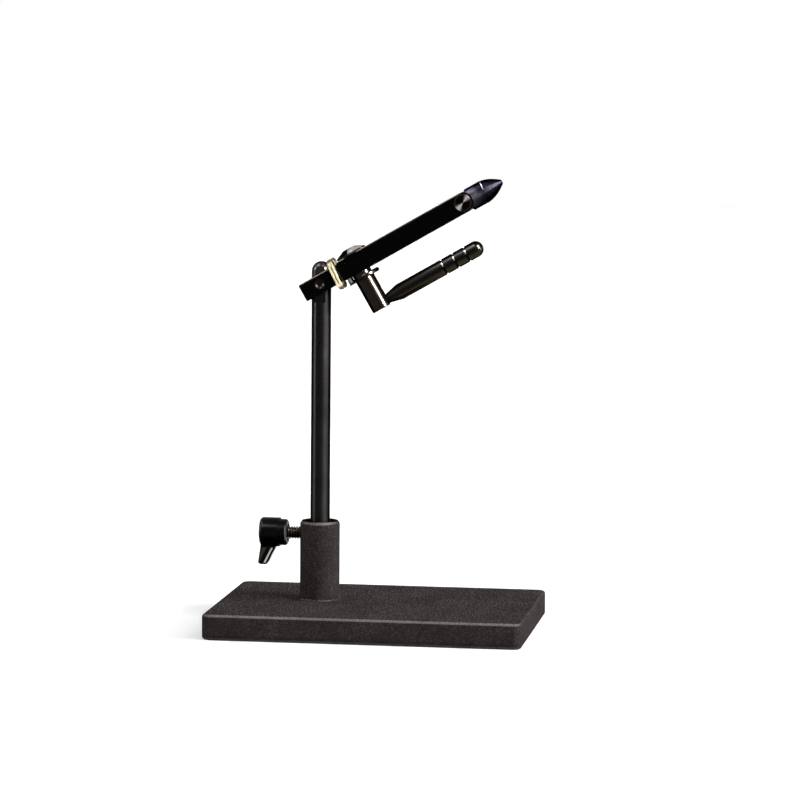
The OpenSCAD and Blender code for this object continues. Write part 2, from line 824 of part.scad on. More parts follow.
// Barrel with the flange turned on its top; the flange has the notch for the stop pin
module barrel() {
    color([0.1, 0.09, 0.09])
        on_head()
            translate([cam_reach, 0, 0])
                difference() {
                    rotate_extrude()
                        polygon([
                            [0, -barrel_depth], [barrel_r - barrel_chamfer, -barrel_depth],
                            [barrel_r, -barrel_depth + barrel_chamfer], [barrel_r, flange_low],
                            [flange_r - barrel_chamfer, flange_low],
                            [flange_r, flange_low + barrel_chamfer],
                            [flange_r, flange_top - barrel_chamfer],
                            [flange_r - barrel_chamfer, flange_top], [0, flange_top]
                        ]);
                    translate([0, 0, shaft_depth - seat_gap])
                        cylinder(r = shaft_r + seat_gap, h = flange_top - shaft_depth + overrun);
                    translate([0, 0, flange_top - notch_depth])
                        rotate([0, 0, 180 - notch_margin])
                            rotate_extrude(angle = lever_swing + 2 * notch_margin)
                                translate([barrel_r, 0])
                                    square([flange_diameter, notch_depth + overrun]);
                    translate([lever_seat, 0, -lever_drop])
                        rotate([0, 90, 0]) cylinder(r = lever_neck_r + seat_gap, h = barrel_r);
                    translate([lever_seat - lever_stud_in, 0, -lever_drop])
                        rotate([0, 90, 0]) cylinder(r = lever_stud_r + seat_gap, h = barrel_diameter);
                }
}

module cap_nut() {
    color([0.12, 0.12, 0.12])
        on_head()
            translate([cam_reach, 0, 0])
                difference() {
                    rotate_extrude()
                        polygon([
                            [shaft_r + seat_gap, cap_low], [cap_r, cap_low], [cap_r, cap_low + cap_land],
                            [cap_top_diameter / 2, cap_low + cap_height],
                            [0, cap_low + cap_height], [0, shaft_top + seat_gap],
                            [shaft_r + seat_gap, shaft_top + seat_gap]
                        ]);
                    translate([0, 0, shaft_top + (cap_low + cap_height - shaft_top) / 2])
                        hexagon_socket(cap_socket_af, cap_height);
                }
}

// Lever, along X from its seat on the barrel

module lever_stud() {
    color([0.5, 0.5, 0.5])
        on_head()
            translate([cam_reach + lever_seat, 0, -lever_drop])
                rotate([0, 90, 0])
                    chamfered_rod(lever_stud_r, -lever_stud_in + seat_gap, lever_stud_out - seat_gap,
                                  lever_stud_r / 6);
}

module lever_handle() {
    straight_end = lever_length - lever_r;
    color([0.06, 0.06, 0.06])
        on_head()
            translate([cam_reach + lever_seat, 0, -lever_drop])
                rotate([0, 90, 0])
                    difference() {
                        rotate_extrude() {
                            polygon([
                                [0, 0], [lever_neck_r, 0], [lever_r, lever_taper],
                                [lever_r, straight_end], [0, straight_end]
                            ]);
                            translate([0, straight_end])
                                intersection() {
                                    circle(lever_r);
                                    square(lever_r);
                                }
                        }
                        for (i = [0 : groove_count - 1])
                            translate([0, 0, lever_length - groove_setback - i * groove_pitch])
                                grip_groove();
                        translate([0, 0, -overrun])
                            cylinder(r = lever_stud_r + seat_gap, h = lever_stud_out + overrun);
                    }
}

// A groove with sloping flanks and a flat floor
module grip_groove() {
    rotate_extrude()
        polygon([
            [lever_r - groove_depth, -groove_width / 4], [lever_r - groove_depth, groove_width / 4],
            [lever_r, groove_width / 2], [lever_r + overrun, groove_width / 2],
            [lever_r + overrun, -groove_width / 2], [lever_r, -groove_width / 2]
        ]);
}

// Rubber band: one unbroken ring that goes twice round the block. The two turns lie side by side
// on the near side, and change places over each other on the far side.

// Distance of the band's path from its middle, a rounded oblong
function band_path_r(angle) =
    let (fourth = pow(cos(angle) / band_half_width, 4) + pow(sin(angle) / band_half_height, 4))
    pow(fourth, -1 / 4) + band_cross_rise * pow((1 - cos(angle)) / 2, 3);

function smooth_step(share) =
    let (s = max(0, min(1, share)))
    s * s * (3 - 2 * s);

// The angle of a strand about the path: it turns by half a turn in each round, on the far side
function strand_angle(turn) =
    let (round_count = floor(turn), angle = 360 * (turn - round_count))
    180 * (round_count + smooth_step((angle - band_swap_start) / band_swap_span));

function band_point(turn) =
    let (
        angle = 360 * turn,
        r = band_path_r(angle) + band_pitch / 2 * sin(strand_angle(turn)),
        z = r * sin(angle)
    )
    [band_reach + z * tan(band_lean) + band_pitch / 2 * cos(strand_angle(turn)),
     -r * cos(angle), band_rise + z];

function unit(v) = v / norm(v);

function band_ring(turn) =
    let (
        step = 1 / (4 * band_rings),
        along = unit(band_point(turn + step) - band_point(turn - step)),
        out = unit(cross(along, [1, 0, 0])),
        side = cross(out, along)
    )
    [for (k = [0 : band_sides - 1])
        let (a = 360 * k / band_sides)
        band_point(turn) + band_r * (out * cos(a) + side * sin(a))];

band_total = 2 * band_rings;
band_centres = [for (i = [0 : band_total - 1]) band_point(i / band_rings)];
band_least_gap = min([
    for (i = [0 : band_total - 1], j = [0 : band_total - 1])
        if (abs(i - j) > band_rings / 4 && abs(i - j) < band_total - band_rings / 4)
            norm(band_centres[i] - band_centres[j])
]) - band_thickness;
echo(band_least_gap = band_least_gap);

module rubber_band() {
    points = [for (i = [0 : band_total - 1]) each band_ring(i / band_rings)];
    faces = [
        for (i = [0 : band_total - 1], k = [0 : band_sides - 1])
            let (
                next = (i + 1) % band_total,
                k_next = (k + 1) % band_sides,
                a = i * band_sides + k,
                b = i * band_sides + k_next,
                c = next * band_sides + k_next,
                d = next * band_sides + k
            )
            each [[a, b, c], [a, c, d]]
    ];
    color([0.87, 0.83, 0.66])
        on_head() polyhedron(points, faces);
}

base_plate();
socket_tube();
foot_weld();
stem_bush();
thumb_screw_stud();
thumb_knob();
knob_insert();
stem();
head_block();
pivot_screw();
arm_rivets();
stop_pin();
rubber_band();
near_arm();
near_jaw();
near_jaw_pin();
far_arm();
far_jaw();
far_jaw_pin();
cam_shaft();
thrust_washer();
barrel();
cap_nut();
lever_stud();
lever_handle();
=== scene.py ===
"""Finishes and small forms of a fly tying vise, dressed over its CAD frame."""

import json
import math
from functools import partial

import bmesh
import bpy
from bpy.props import FloatProperty, FloatVectorProperty, IntProperty, PointerProperty, StringProperty
from mathutils import Euler, Matrix, Vector


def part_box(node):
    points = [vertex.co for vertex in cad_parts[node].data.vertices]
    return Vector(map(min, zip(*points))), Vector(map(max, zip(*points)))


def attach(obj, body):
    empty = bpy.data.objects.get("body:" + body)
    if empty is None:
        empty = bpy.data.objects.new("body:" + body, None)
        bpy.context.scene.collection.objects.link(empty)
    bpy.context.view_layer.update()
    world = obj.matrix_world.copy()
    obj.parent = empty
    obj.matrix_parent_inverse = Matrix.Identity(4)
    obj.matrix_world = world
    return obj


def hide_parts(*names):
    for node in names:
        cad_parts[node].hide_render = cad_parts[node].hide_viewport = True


bl_info = {
    "name": "Fly Tying Vise",
    "version": (1, 0, 0),
    "blender": (4, 5, 0),
    "location": "3D View > Sidebar > Vise",
    "description": "Dresses the CAD frame of a fly tying vise: coats, threads, rubber band and studio",
    "category": "Object",
}

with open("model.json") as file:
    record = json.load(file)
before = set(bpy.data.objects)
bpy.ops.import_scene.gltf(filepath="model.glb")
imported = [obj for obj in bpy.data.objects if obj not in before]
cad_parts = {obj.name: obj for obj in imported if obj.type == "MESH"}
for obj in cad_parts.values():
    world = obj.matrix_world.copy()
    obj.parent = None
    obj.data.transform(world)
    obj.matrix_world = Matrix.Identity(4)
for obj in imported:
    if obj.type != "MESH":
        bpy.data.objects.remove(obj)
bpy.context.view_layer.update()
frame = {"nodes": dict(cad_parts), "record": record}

MM = 0.001

# The head stands on its pivot at the top of the stem, tilted up towards the jaws
PIVOT = Vector((-29.2, 4.0, 167.6)) * MM
HEAD_TILT = math.radians(30)
# The thumb screw runs out to the left from the stem's axis at this point
SCREW = Vector((-29.2, 4.0, 45.0)) * MM
SCREW_RADIUS = 3.175 * MM
# Direction across the wing's pushed edge, and how far that edge lies from the screw's centre
WING_ACROSS = (0.897, 0.0, -0.443)
WING_EDGE = -16.77 * MM
STEM_FOOT = Vector((-29.2, 4.0, 12.5)) * MM
# Height over the stem's foot at which its polished ball begins
BALL_RISE = 157.5 * MM

# Places on the head in its own frame, in millimetres: the reach along it from the pivot towards the
# jaws, and the rise over its middle
BARREL_REACH = 19.9
BARREL_RADIUS = 4.4
LEVER_RISE = -22.25
LEVER_LENGTH = 53.8
LEVER_RADIUS = 3.97
PIN_REACH = 80.6
PIN_RISE = 0.25
RING_GROOVE_REACH = 92.2
# The lever's last grip groove lies this far from its round end; the others follow at the pitch
GROOVE_FROM_END = 8.7
GROOVE_PITCH = 6.35
LAST_GROOVE = BARREL_REACH + BARREL_RADIUS + LEVER_LENGTH - GROOVE_FROM_END

# A Wave Texture of scale 1 repeats after this length
WAVE_LENGTH = 0.314

# The lamps point at the middle of the stem
STEM_MIDDLE = Vector((-29.2, 4.0, 100.0)) * MM
PANEL_DISTANCE = 12.0
# Directions as the camera sees them: right, up and towards it
DOWN_THE_BARREL = (0.273, -0.362, 0.108)
UP_THE_STEM = (0.07, 0.54, -0.18)
INTO_DEPTH = (-0.08, 0.15, -0.6)
UPRIGHT = (0.0, 1.0, 0.1)
# Name, direction towards it, direction of its long side, width and length in metres, the setting
# that holds its strength, and a factor. Scrims show as gloss alone, where a black mirror needs a
# bright field.
PANELS = (
    ("key_panel", (0.60, 0.56, 0.56), DOWN_THE_BARREL, (2.2, 8.6), "key", 1.0),
    ("left_panel", (-0.96, 0.2, 0.1), UP_THE_STEM, (1.8, 8.0), "left", 1.0),
    ("top_panel", (-0.45, 0.78, 0.35), INTO_DEPTH, (1.8, 6.0), "top", 1.0),
    ("right_panel", (0.95, 0.1, 0.2), UPRIGHT, (3.4, 8.0), "right", 1.0),
    ("right_scrim", (0.65, 0.5, 0.58), DOWN_THE_BARREL, (6.0, 9.0), "scrim", 18.0),
    ("right_strip", (0.66, 0.5, 0.56), DOWN_THE_BARREL, (0.6, 7.0), "scrim", 120.0),
    ("left_scrim", (-0.93, 0.2, 0.1), UP_THE_STEM, (3.0, 8.0), "scrim", 16.0),
    ("side_scrim", (0.98, 0.05, 0.0), UPRIGHT, (2.4, 9.0), "scrim", 2.6),
    ("top_scrim", (-0.47, 0.82, 0.27), INTO_DEPTH, (4.5, 12.0), "scrim", 11.0),
)


def linear(hex_colour):
    """The linear colour of an sRGB hex value, which is how every colour here is written."""
    parts = [int(hex_colour[i : i + 2], 16) / 255 for i in (1, 3, 5)]
    return [p / 12.92 if p <= 0.04045 else ((p + 0.055) / 1.055) ** 2.4 for p in parts] + [1.0]


def on_head(along, across, up):
    """A point of the head in millimetres: along to the jaws, across to the back, up over the arms."""
    cos, sin = math.cos(HEAD_TILT), math.sin(HEAD_TILT)
    return PIVOT + Vector((along * cos - up * sin, across, along * sin + up * cos)) * MM


# Sizes and colours that a user would change


def length_of(name, description, default):
    """A size's property, from a value in millimetres."""
    return FloatProperty(name=name, description=description, default=default * MM, unit="LENGTH")


class ViseSizes(bpy.types.PropertyGroup):
    base_corner: length_of("Base corner", "Radius of the base plate's upright corners", 4.4)
    base_top_round: length_of("Base top edge", "Round along the base plate's top edge", 1.5)
    base_foot_round: length_of("Base foot edge", "Round along the base plate's foot", 1.7)
    mouth_round: length_of("Tube mouth", "Round of the socket tube's rim", 1.7)
    thread_pitch: length_of("Thread pitch", "Advance of the thumb screw in one turn", 1.27)
    thread_depth: length_of("Thread depth", "From the crest of the thread to its root", 0.72)
    strand_thickness: length_of("Strand thickness", "Diameter of the rubber band's strand", 1.22)
    strand_gap: length_of("Strand gap", "Space between the band's two strands", 0.28)
    weld_leg: length_of("Weld leg", "Leg of the bead round the foot of the tube", 0.9)
    weld_ripples: IntProperty(
        name="Weld ripples", description="Ripples in the bead, all the way round", default=58, min=8, max=200
    )


class ViseColours(bpy.types.PropertyGroup):
    powder: StringProperty(name="Powder coat", description="Body colour of the coat", default="#2a2626")
    powder_glint: StringProperty(name="Coat highs", description="Ridges of the coat", default="#474140")
    # Painted highlight along the coat's edges and round the tube's mouth
    painted_edge_highlight: StringProperty(name="Thin coat", description="Coat that lies thin on edges", default="#746e6c")
    rubber: StringProperty(name="Rubber", description="Colour of the band", default="#eadfb2")
    # Colour of the upper edges: worn steel and a painted highlight
    worn_and_lit_edge: StringProperty(name="Worn edges", description="Steel under the rubbed black", default="#2c2927")
    jaw: StringProperty(name="Jaws", description="Reflection of the blued jaws", default="#1c1b20")


class StudioSettings(bpy.types.PropertyGroup):
    camera_place: FloatVectorProperty(
        name="Camera place",
        description="Where the camera stands",
        default=(0.2745, -1.8511, 0.3040),
        unit="LENGTH",
    )
    camera_turn: FloatVectorProperty(
        name="Camera turn",
        description="Yaw to the left, pitch down and roll of the camera",
        default=(math.radians(8.12), math.radians(5.87), math.radians(0.47)),
        unit="ROTATION",
    )
    lens: FloatProperty(name="Lens", description="Focal length on a 36 mm sensor, in mm", default=174.25)
    key: FloatProperty(name="Key panel", description="Strength of the panel at the upper right", default=1.5)
    left: FloatProperty(name="Left panel", description="Strength of the panel at the left", default=1.2)
    top: FloatProperty(name="Top panel", description="Strength of the panel at the upper left", default=0.35)
    right: FloatProperty(name="Right panel", description="Strength of the panel at the right", default=8.0)
    scrim: FloatProperty(name="Scrims", description="Strength of what the gloss alone shows", default=1.0)


# Nodes


def feed(node, inputs):
    """Sets or links a node's inputs, given in their order or by name."""
    for key, value in inputs.items() if isinstance(inputs, dict) else enumerate(inputs):
        if isinstance(value, bpy.types.NodeSocket):
            node.id_data.links.new(value, node.inputs[key])
        else:
            node.inputs[key].default_value = value


def add_node(tree, kind, inputs=(), operation=None, output=0, stops=(), **settings):
    """Adds one node, sets and links it, and returns one of its outputs, or all of them for output
    None. A kind may leave out its ShaderNode. A ramp's stops are pairs of place and hex colour."""
    node = tree.nodes.new(kind if "Node" in kind else "ShaderNode" + kind)
    if operation:
        node.operation = operation
    for key, value in settings.items():
        setattr(node, key, value)
    for index, (place, colour) in enumerate(stops):
        elements = node.color_ramp.elements
        element = elements[index] if index < len(elements) else elements.new(place)
        element.position = place
        element.color = linear(colour)
    feed(node, inputs)
    return node.outputs if output is None else node.outputs[output]


# Patterns


def object_place(add, origin=(0, 0, 0), turn=(0, 0, 0)):
    """Object coordinates, centred on a point and turned, so that a pattern lies along a piece."""
    back = Euler(turn).to_matrix()
    moved = {"Vector": add("TexCoord", output="Object"), "Location": -(back @ Vector(origin)), "Rotation": turn}
    return add("Mapping", moved)


def head_place(add, along=0.0, up=0.0):
    """Object coordinates in the head's own frame: X to the jaws, Y to the back, Z over the arms."""
    return object_place(add, on_head(along, 0.0, up), (0, HEAD_TILT, 0))


def head_facing(add):
    """How far the surface faces along, across and up in the head's own frame."""
    facing = {"Vector": add("TexCoord", output="Normal"), "Angle": HEAD_TILT}
    return add("SeparateXYZ", (add("VectorRotate", facing, rotation_type="Y_AXIS"),), output=None)


def stripe(add, value, low, high, blur):
    """1 where a value lies between two limits, fading to 0 outside them."""
    rise = add("MapRange", (value, low - blur, low, 0.0, 1.0))
    return add("Math", (rise, add("MapRange", (value, high, high + blur, 1.0, 0.0))), "MULTIPLY")


def turned_rings(add, place, pitch, axis):
    """Lathe marks: rings round an axis, uneven as a hand-fed tool leaves them. They are drawn 0.3
    to 0.4 mm apart, because real ones lie closer and would be too fine to show."""
    return add(
        "TexWave",
        {"Vector": place, "Scale": WAVE_LENGTH / pitch, "Distortion": 1.5, "Detail": 2.0, "Detail Scale": 1.3},
        output="Fac", wave_type="BANDS", bands_direction=axis,
    )


# Finishes. Each sets what is even on the shader first, then links what varies over the piece.


def wrinkle_powder_coat(add, shader, colours):
    """Wrinkle powder coat, sprayed on steel and baked: a hard skin of ridges under a millimetre
    apart. Its ridges are painted as fine grey specks, partly the coat's own mottle and partly painted glints,
    and the skin has almost no mirror."""
    feed(shader, {"Roughness": 0.62, "Specular IOR Level": 0.0})
    place = object_place(add)
    ridges = add("TexVoronoi", {"Vector": place, "Scale": 1 / (0.8 * MM)}, feature="SMOOTH_F1")
    grit = add("TexNoise", {"Vector": place, "Scale": 1 / (0.6 * MM), "Detail": 1.0})
    drift = add("TexNoise", {"Vector": place, "Scale": 1 / (18 * MM), "Detail": 2.0})
    _, across, up = add("SeparateXYZ", (add("TexCoord", output="Normal"),), output=None)
    # The specks, painted glints in part, are drawn strongest on level faces
    height = add("MapRange", (add("Math", (up,), "ABSOLUTE"), 0.3, 0.9, 0.4, 1.6))
    specks = add("Math", (add("Math", (grit, 0.5), "SUBTRACT"), height), "MULTIPLY")
    mixed = add("Math", (specks, add("MapRange", (drift, 0.3, 0.7, 0.47, 0.53))), "ADD")
    stops = [(0.3, "#1b1817"), (0.5, colours.powder), (0.64, colours.powder_glint), (0.8, "#6b6563")]
    tone = add("ValToRGB", (mixed,), stops=stops)
    # Painted highlight: along the front edge and round the mouth of the tube the coat is painted lighter, as
    # where light catches the edges
    slope = add("Math", (add("Math", (across, up), "MULTIPLY"),), "ABSOLUTE")
    on_slope = add("MapRange", (slope, 0.12, 0.4, 0.0, 1.0))
    edge = add("Math", (on_slope, add("MapRange", (grit, 0.35, 0.6, 0.5, 1.0))), "MULTIPLY")
    # The painted edge highlight is weakened in the crease at the foot of the tube
    from_foot = add("VectorMath", (place, STEM_FOOT), "DISTANCE", output="Value")
    edge = add("Math", (edge, add("MapRange", (from_foot, 12 * MM, 14 * MM, 0.25, 1.0))), "MULTIPLY")
    thin = add("Mix", {0: edge, 6: tone, 7: linear(colours.painted_edge_highlight)}, output=2, data_type="RGBA")
    # Painted shade: near the table the coat is painted darker
    low = add("MapRange", (add("SeparateXYZ", (place,), output="Z"), 0.4 * MM, 3.5 * MM, 0.75, 0.0))
    tone = add("Mix", {0: low, 6: thin, 7: linear("#151211")}, output=2, data_type="RGBA")
    skin = add("Bump", {"Height": ridges, "Strength": 0.45, "Distance": 0.25 * MM})
    grain = add("Bump", {"Height": grit, "Strength": 0.5, "Distance": 0.3 * MM, "Normal": skin})
    feed(shader, {"Base Color": tone, "Normal": grain})


def turned_acetal(add, shader, colours):
    """Acetal rod turned to a bush: dull black plastic, its gloss taken by the tool's fine rings."""
    feed(shader, {"Base Color": linear("#0c0b0b"), "Roughness": 0.6, "Specular IOR Level": 0.0})
    rings = turned_rings(add, object_place(add, STEM_FOOT), 0.35 * MM, "Z")
    feed(shader, {"Normal": add("Bump", {"Height": rings, "Strength": 0.2, "Distance": 0.03 * MM})})


def salt_blackened_steel(add, shader, colours):
    """Rolled thread, blackened in a hot salt bath and oiled: dark, with a greasy gleam."""
    feed(shader, {"Metallic": 1.0})
    film = add("TexNoise", {"Vector": object_place(add), "Scale": 1 / (1.6 * MM), "Detail": 3.0})
    # The crests of the thumb screw's thread are worn bright
    across = add("Mapping", {"Vector": object_place(add, SCREW), "Scale": (0, 1, 1)})
    radius = add("VectorMath", (across,), "LENGTH", output="Value")
    band, blur = 0.225 * MM, 0.12 * MM
    crest = stripe(add, radius, SCREW_RADIUS - band, SCREW_RADIUS + band, blur)
    feed(shader, {
        "Base Color": add("ValToRGB", (crest,), stops=[(0.0, "#0f0c0b"), (1.0, "#36312e")]),
        "Roughness": add("MapRange", (film, 0.3, 0.7, 0.16, 0.3)),
        "Normal": add("Bump", {"Height": film, "Strength": 0.15, "Distance": 0.05 * MM}),
    })


def moulded_nylon(add, shader, colours):
    """Glass-filled nylon from a polished mould: glossy black, with faint flow and sink marks."""
    feed(shader, {"Specular IOR Level": 0.028})
    place = object_place(add, SCREW)
    flow = add("TexNoise", {"Vector": place, "Scale": 1 / (5 * MM), "Detail": 2.0})
    # Painted highlight: the wing is painted pale along its long edges, most along the pushed edge
    x, y, _ = add("SeparateXYZ", (add("TexCoord", output="Normal"),), output=None)
    flat = add("MapRange", (add("Math", (y,), "ABSOLUTE"), 0.9, 0.97, 0.0, 1.0))
    along, _, height = add("SeparateXYZ", (place,), output=None)
    from_screw = add("VectorMath", (place, WING_ACROSS), "DOT_PRODUCT", output="Value")
    depth = add("Math", (WING_EDGE, from_screw), "SUBTRACT")
    pushed = stripe(add, depth, 0.55 * MM, 1.2 * MM, 0.25 * MM)
    other = add("Math", (stripe(add, depth, 3.6 * MM, 5.2 * MM, 0.5 * MM), 0.3), "MULTIPLY")
    below = add("Math", (flat, add("MapRange", (height, -7.9 * MM, -7.3 * MM, 1.0, 0.0))), "MULTIPLY")
    wing = add("Math", (below, add("Math", (pushed, other), "MAXIMUM")), "MULTIPLY")
    # Painted highlight on the corner of the neck's inner end, next to the tube's wall
    corner = add("MapRange", (add("Math", (x, y), "MULTIPLY"), -0.3, -0.44, 0.0, 0.42))
    inner = add("MapRange", (along, -17.3 * MM, -16.8 * MM, 0.0, 1.0))
    # The painted highlights of the wing and of the neck together
    rubbed = add("Math", (wing, add("Math", (corner, inner), "MULTIPLY")), "MAXIMUM")
    feed(shader, {
        "Base Color": add("ValToRGB", (rubbed,), stops=[(0.0, "#020202"), (0.35, "#3c3a38"), (1.0, "#d9d6d1")]),
        "Roughness": add("MapRange", (flow, 0.3, 0.7, 0.12, 0.24)),
        "Normal": add("Bump", {"Height": flow, "Strength": 0.25, "Distance": 0.12 * MM}),
    })


def turned_brass(add, shader, colours):
    """Free-cutting brass, turned: yellow metal gone a little dull."""
    feed(shader, {"Base Color": linear("#a98c55"), "Metallic": 1.0, "Roughness": 0.35})
    rings = turned_rings(add, object_place(add, SCREW), 0.3 * MM, "X")
    feed(shader, {"Normal": add("Bump", {"Height": rings, "Strength": 0.3, "Distance": 0.03 * MM})})


def black_oxide_rod(add, shader, colours):
    """Ground steel rod, blackened: deep black with a soft sheen and very fine grinding rings."""
    feed(shader, {"Metallic": 1.0, "Specular Tint": linear("#3c3a3a"), "Anisotropic": 0.35})
    place = object_place(add, STEM_FOOT)
    rings = turned_rings(add, place, 0.4 * MM, "Z")
    handled = add("TexNoise", {"Vector": place, "Scale": 1 / (14 * MM), "Detail": 4.0})
    # The ball end has been polished by hand before the blackening
    height = add("SeparateXYZ", (place,), output="Z")
    ball = add("MapRange", (height, BALL_RISE, BALL_RISE + 2 * MM, 0.0, 1.0))
    feed(shader, {
        "Base Color": add("ValToRGB", (ball,), stops=[(0.0, "#0f0e0e"), (1.0, "#1e1c1b")]),
        "Roughness": add("MapRange", (handled, 0.3, 0.7, 0.24, 0.34)),
        "Normal": add("Bump", {"Height": rings, "Strength": 0.12, "Distance": 0.02 * MM}),
        # The gloss is drawn out along the rod, square to its rings
        "Tangent": add(
            "VectorTransform", {"Vector": (0, 0, 1)},
            vector_type="VECTOR", convert_from="OBJECT", convert_to="WORLD",
        ),
    })


def milled_black_oxide(add, shader, colours):
    """Cold rolled bar, milled and blackened: nearly no light comes back from its faces. Its upper
    broken edges are painted lighter, partly steel worn through the black and partly a painted highlight."""
    feed(shader, {"Metallic": 1.0, "Specular Tint": linear("#202020")})
    grain = {"Vector": head_place(add), "Scale": (1 / (9 * MM), 1 / (0.5 * MM), 1 / (0.5 * MM))}
    streaks = add("TexNoise", {"Vector": add("Mapping", grain), "Scale": 1.0, "Detail": 3.0})
    # A broken edge faces half to the side and half up; only the upper ones are painted lighter, as wear and as
    # a painted highlight, and the lower ones stay dark
    _, across, up = head_facing(add)
    edge = add("Math", (add("Math", (across,), "ABSOLUTE"), up), "MULTIPLY")
    uneven = add("MapRange", (streaks, 0.3, 0.6, 0.5, 1.0))
    worn = add("Math", (add("MapRange", (edge, 0.3, 0.48, 0.0, 1.0)), uneven), "MULTIPLY")
    feed(shader, {
        "Base Color": add("ValToRGB", (worn,), stops=[(0.0, "#030303"), (1.0, colours.worn_and_lit_edge)]),
        "Roughness": add("MapRange", (streaks, 0.3, 0.7, 0.24, 0.34)),
        "Normal": add("Bump", {"Height": streaks, "Strength": 0.06, "Distance": 0.03 * MM}),
    })


def bright_turned_steel(add, shader, colours):
    """Turned bright steel, left bare: grey-white with fine rings."""
    feed(shader, {"Base Color": linear("#7f827b"), "Metallic": 1.0, "Roughness": 0.26})
    rings = turned_rings(add, head_place(add, BARREL_REACH), 0.3 * MM, "Z")
    feed(shader, {"Normal": add("Bump", {"Height": rings, "Strength": 0.2, "Distance": 0.03 * MM})})


def blued_tool_steel(add, shader, colours):
    """Tool steel, hardened, polished along the lathe and tempered blue: dark violet grey, with a
    soft mirror drawn out by rings from the turning."""
    metal = {"Metallic": 1.0, "Roughness": 0.36, "Specular Tint": linear("#77747f"), "Anisotropic": 0.85}
    feed(shader, metal)
    place = head_place(add)
    rings = turned_rings(add, place, 0.35 * MM, "X")
    heat = add("TexNoise", {"Vector": place, "Scale": 1 / (7 * MM), "Detail": 2.0})
    along = add("SeparateXYZ", (place,), output="X")
    # The heat tint varies at random; over it the jaw is painted lighter near the pin and darker towards the
    # nose, a painted reflection and shade
    nose_shade_from, nose_shade_to = (RING_GROOVE_REACH - 7) * MM, (RING_GROOVE_REACH + 0.5) * MM
    tint_and_painted_shade = add("Math", (heat, add("MapRange", (along, nose_shade_from, nose_shade_to, -0.08, 0.36))), "SUBTRACT")
    stops = [(0.15, "#050507"), (0.3, "#0a090c"), (0.42, "#151418"), (0.6, colours.jaw), (0.75, "#27252c")]
    tone = add("ValToRGB", (tint_and_painted_shade,), stops=stops)
    # Painted highlight on the upper side of the ring groove, where light from above catches it
    off = add("Math", (add("Math", (along, RING_GROOVE_REACH * MM), "SUBTRACT"),), "ABSOLUTE")
    above = add("MapRange", (head_facing(add)[2], 0.1, 0.5, 0.0, 1.0))
    cut = add("Math", (add("MapRange", (off, 0.16 * MM, 0.3 * MM, 1.0, 0.0)), above), "MULTIPLY")
    feed(shader, {
        "Base Color": add("Mix", {0: cut, 6: tone, 7: linear("#8a878d")}, output=2, data_type="RGBA"),
        "Normal": add("Bump", {"Height": rings, "Strength": 0.35, "Distance": 0.03 * MM}),
        # The gloss is drawn out along the jaws, square to their rings
        "Tangent": add(
            "VectorTransform", {"Vector": on_head(1, 0, 0) - PIVOT},
            vector_type="VECTOR", convert_from="OBJECT", convert_to="WORLD",
        ),
    })


def faced_steel(add, shader, colours):
    """Face of a turned pin, with rings round its middle: two bright fan-shaped sectors of its colour are a
    painted reflection.
    """
    feed(shader, {"Metallic": 1.0, "Roughness": 0.22, "Specular Tint": linear("#555050")})
    flat = add("Mapping", {"Vector": head_place(add, PIN_REACH, PIN_RISE), "Scale": (1, 0, 1)})
    x, _, z = add("SeparateXYZ", (flat,), output=None)
    # Painted reflection: two opposite fan-shaped sectors of the face are painted lighter
    fan_turn = math.radians(22)
    turn = add("Math", (add("Math", (z, x), "ARCTAN2"), fan_turn), "SUBTRACT")
    painted_fans = add("Math", (add("Math", (turn, 2.0), "MULTIPLY"),), "COSINE")
    radius = add("VectorMath", (flat,), "LENGTH", output="Value")
    rim = add("MapRange", (radius, 3.55 * MM, 3.8 * MM, 0.0, 0.32))
    glow = add("Math", (add("MapRange", (painted_fans, 0.25, 1.0, 0.0, 1.0)), rim), "MAXIMUM")
    # Facing rings, drawn 0.3 mm apart: real ones would be too fine to show
    rings = add(
        "TexWave", {"Vector": flat, "Scale": WAVE_LENGTH / (0.3 * MM), "Distortion": 0.0},
        output="Fac", wave_type="RINGS", rings_direction="SPHERICAL",
    )
    feed(shader, {
        "Base Color": add("ValToRGB", (glow,), stops=[(0.0, "#050404"), (0.5, "#2a2524"), (1.0, "#8d8786")]),
        "Normal": add("Bump", {"Height": rings, "Strength": 0.5, "Distance": 0.05 * MM}),
    })


def polished_black_oxide(add, shader, colours):
    """Polished on the lathe, then blackened: a dark mirror, with the faintest rings."""
    feed(shader, {"Metallic": 1.0, "Specular Tint": linear("#48413c")})
    place = head_place(add, BARREL_REACH)
    rings = turned_rings(add, place, 0.4 * MM, "Z")
    haze = add("TexNoise", {"Vector": place, "Scale": 1 / (4 * MM), "Detail": 3.0})
    # Painted highlight on the cap nut's facet towards the front
    towards = (on_head(0.21, -0.41, 0.89) - PIVOT).normalized()
    match = add("VectorMath", (add("TexCoord", output="Normal"), towards), "DOT_PRODUCT", output="Value")
    # The painted highlight fades towards the rear of the facet, measured from the nut's middle
    along = add("SeparateXYZ", (place,), output="X")
    fading = add("MapRange", (along, -2.4 * MM, 1.6 * MM, 0.12, 1.0))
    uneven = add("Math", (add("MapRange", (haze, 0.35, 0.6, 0.6, 1.0)), fading), "MULTIPLY")
    # The painted highlight, made uneven by the haze
    rubbed = add("Math", (add("MapRange", (match, 0.955, 0.985, 0.0, 1.0)), uneven), "MULTIPLY")
    feed(shader, {
        "Base Color": add("ValToRGB", (rubbed,), stops=[(0.0, "#1a1613"), (1.0, "#d6d3d1")]),
        "Roughness": add("MapRange", (haze, 0.3, 0.7, 0.14, 0.2)),
        "Normal": add("Bump", {"Height": rings, "Strength": 0.2, "Distance": 0.02 * MM}),
    })


